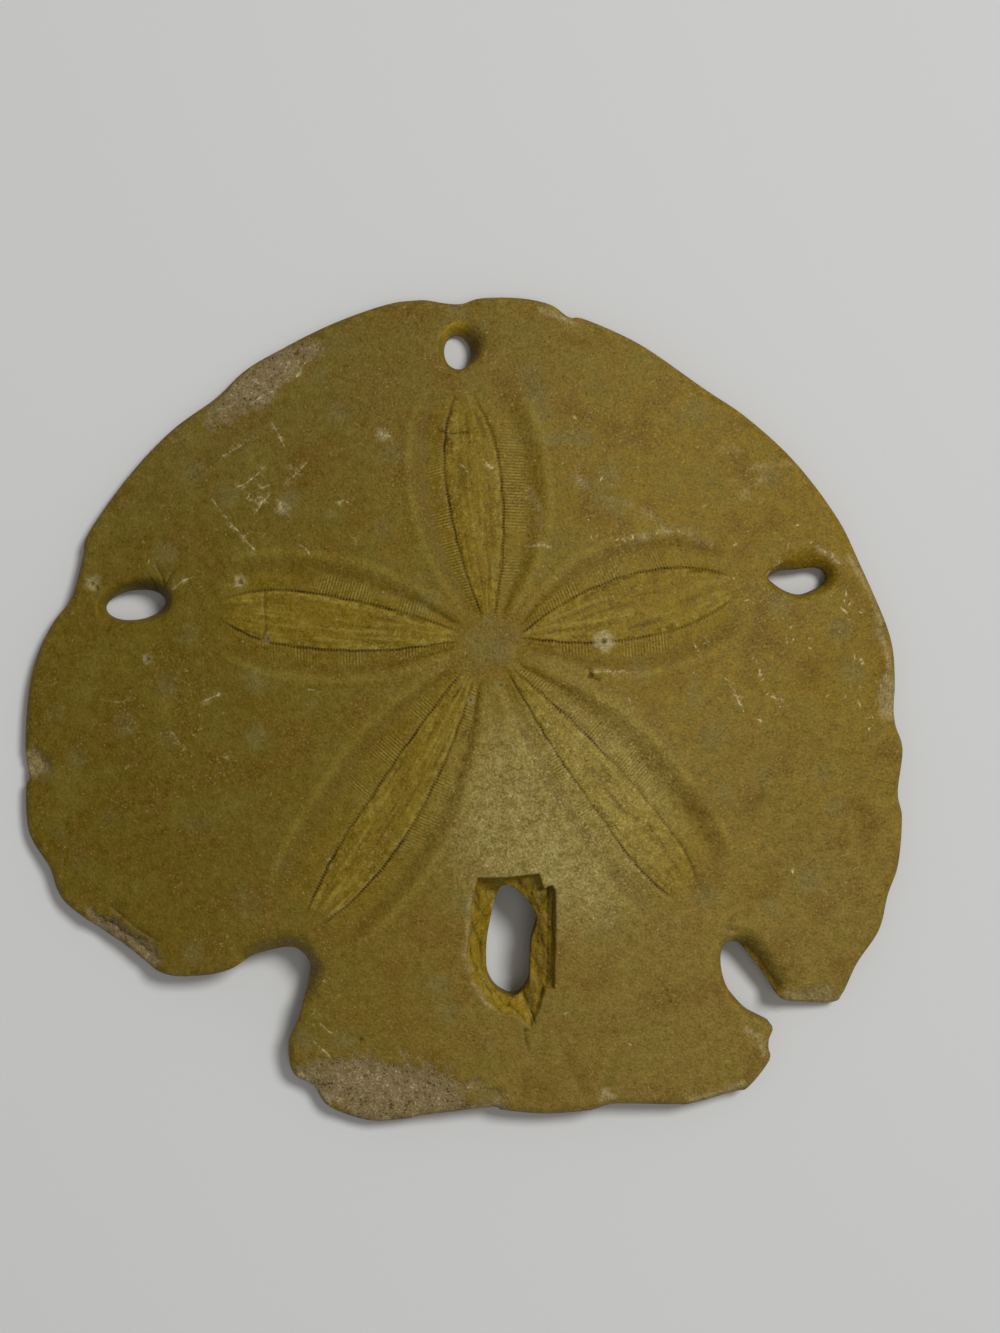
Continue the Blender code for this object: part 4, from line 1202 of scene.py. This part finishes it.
class Nodes:
    """Short names for the nodes that a material is built from."""

    def __init__(self, name):
        self.material = bpy.data.materials.new(name)
        self.material.use_nodes = True
        self.tree = self.material.node_tree
        self.shader = self.tree.nodes["Principled BSDF"]
        texture = self.tree.nodes.new("ShaderNodeTexCoord")
        to_mm = self.tree.nodes.new("ShaderNodeVectorMath")
        to_mm.operation = "SCALE"
        to_mm.inputs["Scale"].default_value = 1 / MM
        self.link(texture.outputs["Object"], to_mm.inputs[0])
        self.place = to_mm.outputs[0]

    def link(self, output, socket):
        self.tree.links.new(output, socket)

    def put(self, value, socket):
        if isinstance(value, bpy.types.NodeSocket):
            self.link(value, socket)
        else:
            socket.default_value = value

    def attribute(self, name):
        node = self.tree.nodes.new("ShaderNodeAttribute")
        node.attribute_name = name
        return node.outputs["Vector"]

    def noise(self, size, detail, roughness, place=None, distortion=0.0):
        node = self.tree.nodes.new("ShaderNodeTexNoise")
        node.inputs["Scale"].default_value = 1 / size
        node.inputs["Detail"].default_value = detail
        node.inputs["Roughness"].default_value = roughness
        node.inputs["Distortion"].default_value = distortion
        self.link(place or self.place, node.inputs["Vector"])
        return node.outputs["Fac"]

    def cells(self, size):
        """Distance to the middles of flat cells."""
        node = self.tree.nodes.new("ShaderNodeTexVoronoi")
        node.voronoi_dimensions = "2D"
        node.inputs["Scale"].default_value = 1 / size
        self.link(self.place, node.inputs["Vector"])
        return node.outputs["Distance"]

    def steps(self, value, low, high, start=0.0, end=1.0):
        """Value between low and high, spread smoothly over start to end."""
        node = self.tree.nodes.new("ShaderNodeMapRange")
        node.interpolation_type = "SMOOTHSTEP"
        self.put(value, node.inputs["Value"])
        node.inputs["From Min"].default_value = low
        node.inputs["From Max"].default_value = high
        node.inputs["To Min"].default_value = start
        node.inputs["To Max"].default_value = end
        return node.outputs["Result"]

    def math(self, operation, a, b=0.0, c=0.0):
        node = self.tree.nodes.new("ShaderNodeMath")
        node.operation = operation
        for value, socket in zip((a, b, c), node.inputs):
            self.put(value, socket)
        return node.outputs[0]

    def times(self, a, b):
        return self.math("MULTIPLY", a, b)

    def plus(self, a, b):
        return self.math("ADD", a, b)

    def times_plus(self, a, b, c):
        return self.math("MULTIPLY_ADD", a, b, c)

    def vector_math(self, operation, value, other):
        node = self.tree.nodes.new("ShaderNodeVectorMath")
        node.operation = operation
        self.link(value, node.inputs[0])
        node.inputs[1].default_value = other
        return node.outputs

    def mix(self, share, a, b, blend="MIX"):
        node = self.tree.nodes.new("ShaderNodeMix")
        node.data_type = "RGBA"
        node.blend_type = blend
        self.put(share, node.inputs["Factor"])
        self.put(a, node.inputs[6])
        self.put(b, node.inputs[7])
        return node.outputs[2]

    def over(self, tone, paint, mask, share):
        """The paint over the tone, as strong as the mask times the share."""
        return self.mix(self.times(mask, share), tone, paint)

    def grey(self, value):
        node = self.tree.nodes.new("ShaderNodeCombineColor")
        for socket in node.inputs[:3]:
            self.link(value, socket)
        return node.outputs[0]

    def grained(self, tone, grain):
        """Tone made lighter or darker by the grain, nearly as much in blue as in red."""
        tone = self.mix(1.0, tone, self.grey(self.plus(grain, 1.0)), "MULTIPLY")
        return self.mix(1.0, tone, self.grey(self.times(grain, 0.026)), "ADD")

    def split(self, vector):
        node = self.tree.nodes.new("ShaderNodeSeparateXYZ")
        self.link(vector, node.inputs[0])
        return node.outputs


def petal_marks(n, tone, small, fine, warmth):
    """Colours of the leaves, the pore lines and the striated bands over the given tone."""
    ochre = colour(126, 103, 12)
    straw = colour(144, 126, 50)
    umber = colour(78, 57, 9)
    soot = colour(34, 24, 7)
    along, beyond, band = n.split(n.attribute("petal_place"))
    fade, striated, streak = n.split(n.attribute("petal_look"))
    in_leaf = n.times(n.steps(beyond, -0.2, 0.05, 1.0, 0.0), fade)
    tone = n.over(tone, ochre, in_leaf, 0.52)
    stripe = n.plus(streak, n.times_plus(small, 0.7, -0.35))
    tone = n.mix(n.times(n.steps(stripe, 0.05, 0.45, 0.0, 0.46), in_leaf), tone, straw)
    tone = n.mix(n.times(n.steps(stripe, -0.10, -0.50, 0.0, 0.44), in_leaf), tone, umber)
    beside = n.times(n.steps(beyond, -0.9, -0.35), n.steps(beyond, -0.12, -0.3))
    beside = n.times(n.times(beside, fade), n.steps(small, 0.44, 0.60, 0.0, 0.4))
    tone = n.mix(beside, tone, straw)

    part = n.math("DIVIDE", beyond, band)
    in_band = n.times(n.steps(beyond, 0.0, 0.3), fade)
    outer = n.times(n.steps(part, 0.40, 0.75), n.steps(part, 1.2, 0.9))
    outer = n.times(outer, in_band)
    tone = n.over(tone, ochre, n.times(in_band, n.steps(part, 1.3, 0.9)), 0.28)
    tone = n.over(tone, umber, outer, 0.34)
    inner = n.times(n.steps(part, STRIA_SHARE + STRIA_SIDE, STRIA_SHARE - STRIA_SIDE), in_band)
    slanted = n.times_plus(beyond, STRIA_SLANT, along)
    wave = n.math("COSINE", n.times(slanted, 2 * math.pi / PORE_PITCH))
    plain = n.times(inner, n.times(striated, n.steps(small, 0.40, 0.60, 0.35, 1.0)))
    tone = n.mix(n.times(n.steps(wave, 0.2, -0.8, 0.0, 0.55), plain), tone, straw)
    tone = n.mix(n.times(n.steps(wave, 0.0, 0.9, 0.0, 0.60), plain), tone, umber)
    at_pores = n.times(n.steps(n.math("ABSOLUTE", beyond), 0.22, 0.05), fade)
    tone = n.over(tone, umber, at_pores, 0.26)
    chance = n.times_plus(small, 5.0, n.times(fine, 4.0))
    chance = n.times_plus(warmth, 1.5, chance)
    dots = n.steps(n.times_plus(wave, 0.8, chance), 4.4, 5.6)
    tone = n.over(tone, soot, n.times(at_pores, dots), 0.82)
    past = n.math("SUBTRACT", beyond, n.plus(band, HALO_DISTANCE))
    halo = n.times(n.steps(n.math("ABSOLUTE", past), 0.7, 0.1), fade)
    return n.over(tone, straw, halo, 0.22)


def broken_places(n, tone, small, fine, exposed, chipped):
    """Colours of the fibrous break at the back slot and of the crumbled patches."""
    ochre = colour(140, 114, 16)
    straw = colour(158, 138, 62)
    umber = colour(82, 60, 8)
    crust = colour(132, 115, 83)
    dark_crust = colour(82, 66, 34)
    pale_crust = colour(176, 160, 124)
    fibre = n.noise(1.0, 2.0, 0.6, n.vector_math("MULTIPLY", n.place, FIBRE_STRETCH)[0])
    inside_tone = n.mix(n.steps(fibre, 0.28, 0.40, 0.1, 1.0), umber, ochre)
    inside_tone = n.mix(n.steps(fibre, 0.50, 0.64, 0.0, 0.8), inside_tone, straw)
    # Darker umber toward the right of the break: partly its own colour, partly painted shade where it faces
    # away from the lamps
    right_tone_and_shade = n.steps(n.split(n.place)[0], BREAK_MIDDLE, BREAK_MIDDLE + BREAK_BLEND, 0.0, 0.45)
    inside_tone = n.mix(right_tone_and_shade, inside_tone, umber)
    tone = n.over(tone, inside_tone, exposed, 0.85)
    crumbs = n.times_plus(fine, 0.55, n.times(small, 0.45))
    crumb_tone = n.mix(n.steps(crumbs, 0.38, 0.46), dark_crust, crust)
    crumb_tone = n.mix(n.steps(crumbs, 0.54, 0.64, 0.0, 0.8), crumb_tone, pale_crust)
    return n.over(tone, crumb_tone, chipped, 0.75)


def test_material():
    """Mineralised calcite: olive and tan with a fine grain, grey spots, flecks, pores and worn places, with
    painted light: a sheen and glints, pale highlights, and shade and light on slopes.
    """
    n = Nodes("mineralised_test")
    olive = colour(101, 83, 16)
    tan = colour(125, 101, 26)
    veil = colour(114, 98, 58)
    green = colour(105, 92, 26)
    rust = colour(108, 80, 24)
    grey = colour(112, 104, 62)
    straw = colour(158, 144, 88)
    ochre = colour(134, 110, 12)
    painted_shade = colour(58, 38, 8)
    lit_yellow = colour(168, 142, 40)
    soot = colour(34, 24, 7)
    bone = colour(206, 192, 148)
    glint = colour(196, 180, 112)

    small = n.noise(SMALL_GRAIN, 3.0, 0.7)
    fine = n.noise(FINE_GRAIN, 3.0, 0.7)
    strokes = n.noise(STROKE_GRAIN, 2.0, 0.6, distortion=2.2)
    dots = n.times(n.steps(n.cells(DOT_SPACING), 0.09, 0.03), n.steps(strokes, 0.50, 0.60))
    x, y, _ = n.split(n.place)
    warmth, paleness, spots = n.split(n.attribute("blotches"))
    disc, slope, painted_light_and_shade = n.split(n.attribute("form"))
    exposed, chipped, rim = n.split(n.attribute("surface"))
    scratch, dark_mark_and_groove_shade, pale = n.split(n.attribute("marks"))

    sideways = n.times_plus(y, -0.25, x)
    tone = n.mix(n.steps(n.times_plus(warmth, 12.0, sideways), -34.0, 30.0), olive, tan)
    at_back = n.steps(n.times_plus(paleness, -14.0, y), 15.0, -35.0, 0.0, 0.34)
    at_back = n.times(at_back, n.steps(x, -35.0, 20.0))
    at_front = n.steps(n.times_plus(x, -0.2, y), 18.0, 40.0, 0.0, 0.2)
    tone = n.mix(n.plus(at_back, at_front), tone, veil)
    blotch = n.times_plus(small, 0.9, n.math("SUBTRACT", warmth, 0.45))
    tone = n.mix(n.steps(blotch, 0.0, 0.65, 0.0, 0.42), tone, rust)
    tone = n.mix(n.steps(blotch, 0.0, -0.65, 0.0, 0.42), tone, green)
    tone = n.over(tone, grey, spots, 0.46)
    # Paler worn place at the back of the dome, partly wear and partly a painted sheen
    worn_sheen = n.steps(n.vector_math("DISTANCE", n.place, WORN_SHEEN_PLACE)["Value"], *WORN_SHEEN_REACH)
    worn_sheen = n.times(worn_sheen, n.steps(n.plus(small, fine), 0.70, 1.25, 0.35, 1.0))
    tone = n.over(tone, straw, worn_sheen, 0.58)

    tone = petal_marks(n, tone, small, fine, warmth)
    # Painted glints: bright sparkle over the worn place
    glints = n.times(n.steps(strokes, 0.52, 0.66), worn_sheen)
    tone = n.over(tone, glint, glints, 0.36)
    tone = n.over(tone, grey, disc, 0.22)
    tone = n.over(tone, ochre, slope, 0.5)
    # Painted shade on the slopes of the slots and notches, and painted light on the upper slope of the front
    # slot
    tone = n.mix(n.steps(painted_light_and_shade, 0.0, 1.0, 0.0, 0.75), tone, painted_shade)
    tone = n.mix(n.steps(painted_light_and_shade, 0.0, -1.0, 0.0, 0.75), tone, lit_yellow)
    tone = n.mix(n.times(rim, n.steps(small, 0.45, 0.62, 0.0, 0.5)), tone, ochre)
    tone = broken_places(n, tone, small, fine, exposed, chipped)

    thick = n.steps(n.times_plus(paleness, 0.8, n.plus(warmth, worn_sheen)), 0.05, 0.75, 0.10, 1.0)
    flecks = n.steps(n.times_plus(thick, 0.06, strokes), 0.64, 0.72)
    flecks = n.times(flecks, n.steps(fine, 0.40, 0.60, 0.3, 1.0))
    tone = n.over(tone, straw, flecks, 0.5)
    tone = n.mix(n.times(n.steps(fine, 0.66, 0.74), n.times(thick, 0.55)), tone, bone)
    tone = n.over(tone, straw, n.times(dots, thick), 0.45)
    tone = n.mix(n.steps(fine, 0.37, 0.29, 0.0, 0.35), tone, soot)
    crumbled = n.steps(n.plus(fine, small), 0.85, 1.15, 0.15, 1.0)
    # Pale crusts, growth lines, rim strips and clean flakes, with painted highlights along the rims
    pale_and_highlight = n.times(pale, n.steps(fine, 0.3, 0.6, 0.5, 1.0))
    tone = n.over(tone, bone, pale_and_highlight, 0.38)
    tone = n.over(tone, bone, n.times(scratch, crumbled), 0.78)
    # Dark cracks and pits, and painted shade in the underside's food grooves
    tone = n.over(tone, soot, dark_mark_and_groove_shade, 0.6)

    mottle = n.times_plus(warmth, -0.12, n.times_plus(small, 0.80, -0.400))
    speckle = n.times(n.math("SUBTRACT", fine, 0.49), n.steps(x, -30.0, 15.0, 0.95, 1.35))
    # Painted light and shade: lighter toward the back, darker toward the right
    painted_light_by_place = n.plus(n.steps(y, -8.0, -30.0, 0.0, 0.07), n.steps(x, 18.0, 40.0, 0.0, -0.05))
    grain = n.plus(n.plus(speckle, mottle), painted_light_by_place)
    n.link(n.grained(tone, grain), n.shader.inputs["Base Color"])

    rough_parts = n.math("MAXIMUM", exposed, chipped)
    polish = n.steps(small, 0.30, 0.70, 0.44, 0.64)
    n.link(n.times_plus(rough_parts, 0.25, polish), n.shader.inputs["Roughness"])
    n.shader.inputs["Specular IOR Level"].default_value = SHINE

    relief = n.times(n.steps(n.cells(CRYSTAL), 0.6, 0.1), 0.030)
    relief = n.times_plus(small, 0.08, relief)
    relief = n.times_plus(fine, n.times_plus(rough_parts, 0.16, 0.07), relief)
    bump = n.tree.nodes.new("ShaderNodeBump")
    bump.inputs["Distance"].default_value = MM
    bump.inputs["Strength"].default_value = BUMP_STRENGTH
    n.link(relief, bump.inputs["Height"])
    n.link(bump.outputs["Normal"], n.shader.inputs["Normal"])
    return n.material


def floor_material():
    n = Nodes("plain_pale_floor")
    n.shader.inputs["Base Color"].default_value = FLOOR_COLOUR
    n.shader.inputs["Roughness"].default_value = FLOOR_ROUGHNESS
    return n.material


def make_floor():
    bpy.ops.mesh.primitive_plane_add(size=FLOOR_SIZE, location=(0, 0, -FLOOR_GAP))
    floor = bpy.context.object
    floor.name = "floor"
    floor.data.materials.append(floor_material())


def area_light(name, place, size, power):
    """Round lamp that points at the middle of the plate."""
    data = bpy.data.lights.new(name, "AREA")
    data.shape = "DISK"
    data.size = size
    data.energy = power
    item = bpy.data.objects.new(name, data)
    item.location = place
    item.rotation_euler = (-Vector(place)).to_track_quat("-Z", "Y").to_euler()
    bpy.context.scene.collection.objects.link(item)


def make_lights():
    for name, lamp in LAMPS.items():
        area_light(name, lamp["place"], lamp["size"], lamp["power"])
    world = bpy.data.worlds.new("studio")
    world.use_nodes = True
    background = world.node_tree.nodes["Background"]
    background.inputs["Color"].default_value = (1.0, 1.0, 1.0, 1.0)
    background.inputs["Strength"].default_value = AMBIENT
    bpy.context.scene.world = world


def make_camera():
    data = bpy.data.cameras.new("camera")
    data.sensor_fit = "VERTICAL"
    data.sensor_height = SENSOR
    view_height = VIEW_WIDTH * IMAGE_SIZE[1] / IMAGE_SIZE[0]
    data.lens = SENSOR * CAMERA_HEIGHT / view_height
    data.clip_start = CLIP_START
    camera = bpy.data.objects.new("camera", data)
    camera.location = (CAMERA_OVER[0] * MM, CAMERA_OVER[1] * MM, CAMERA_HEIGHT * MM)
    camera.rotation_euler = (0.0, 0.0, math.radians(CAMERA_TURN))
    bpy.context.scene.collection.objects.link(camera)
    bpy.context.scene.camera = camera


sand_dollar = make_skin()
sand_dollar.data.materials.append(test_material())
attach(sand_dollar, "root")
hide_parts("sand_dollar")
make_floor()
make_lights()
make_camera()
bpy.context.scene.view_settings.view_transform = "Standard"
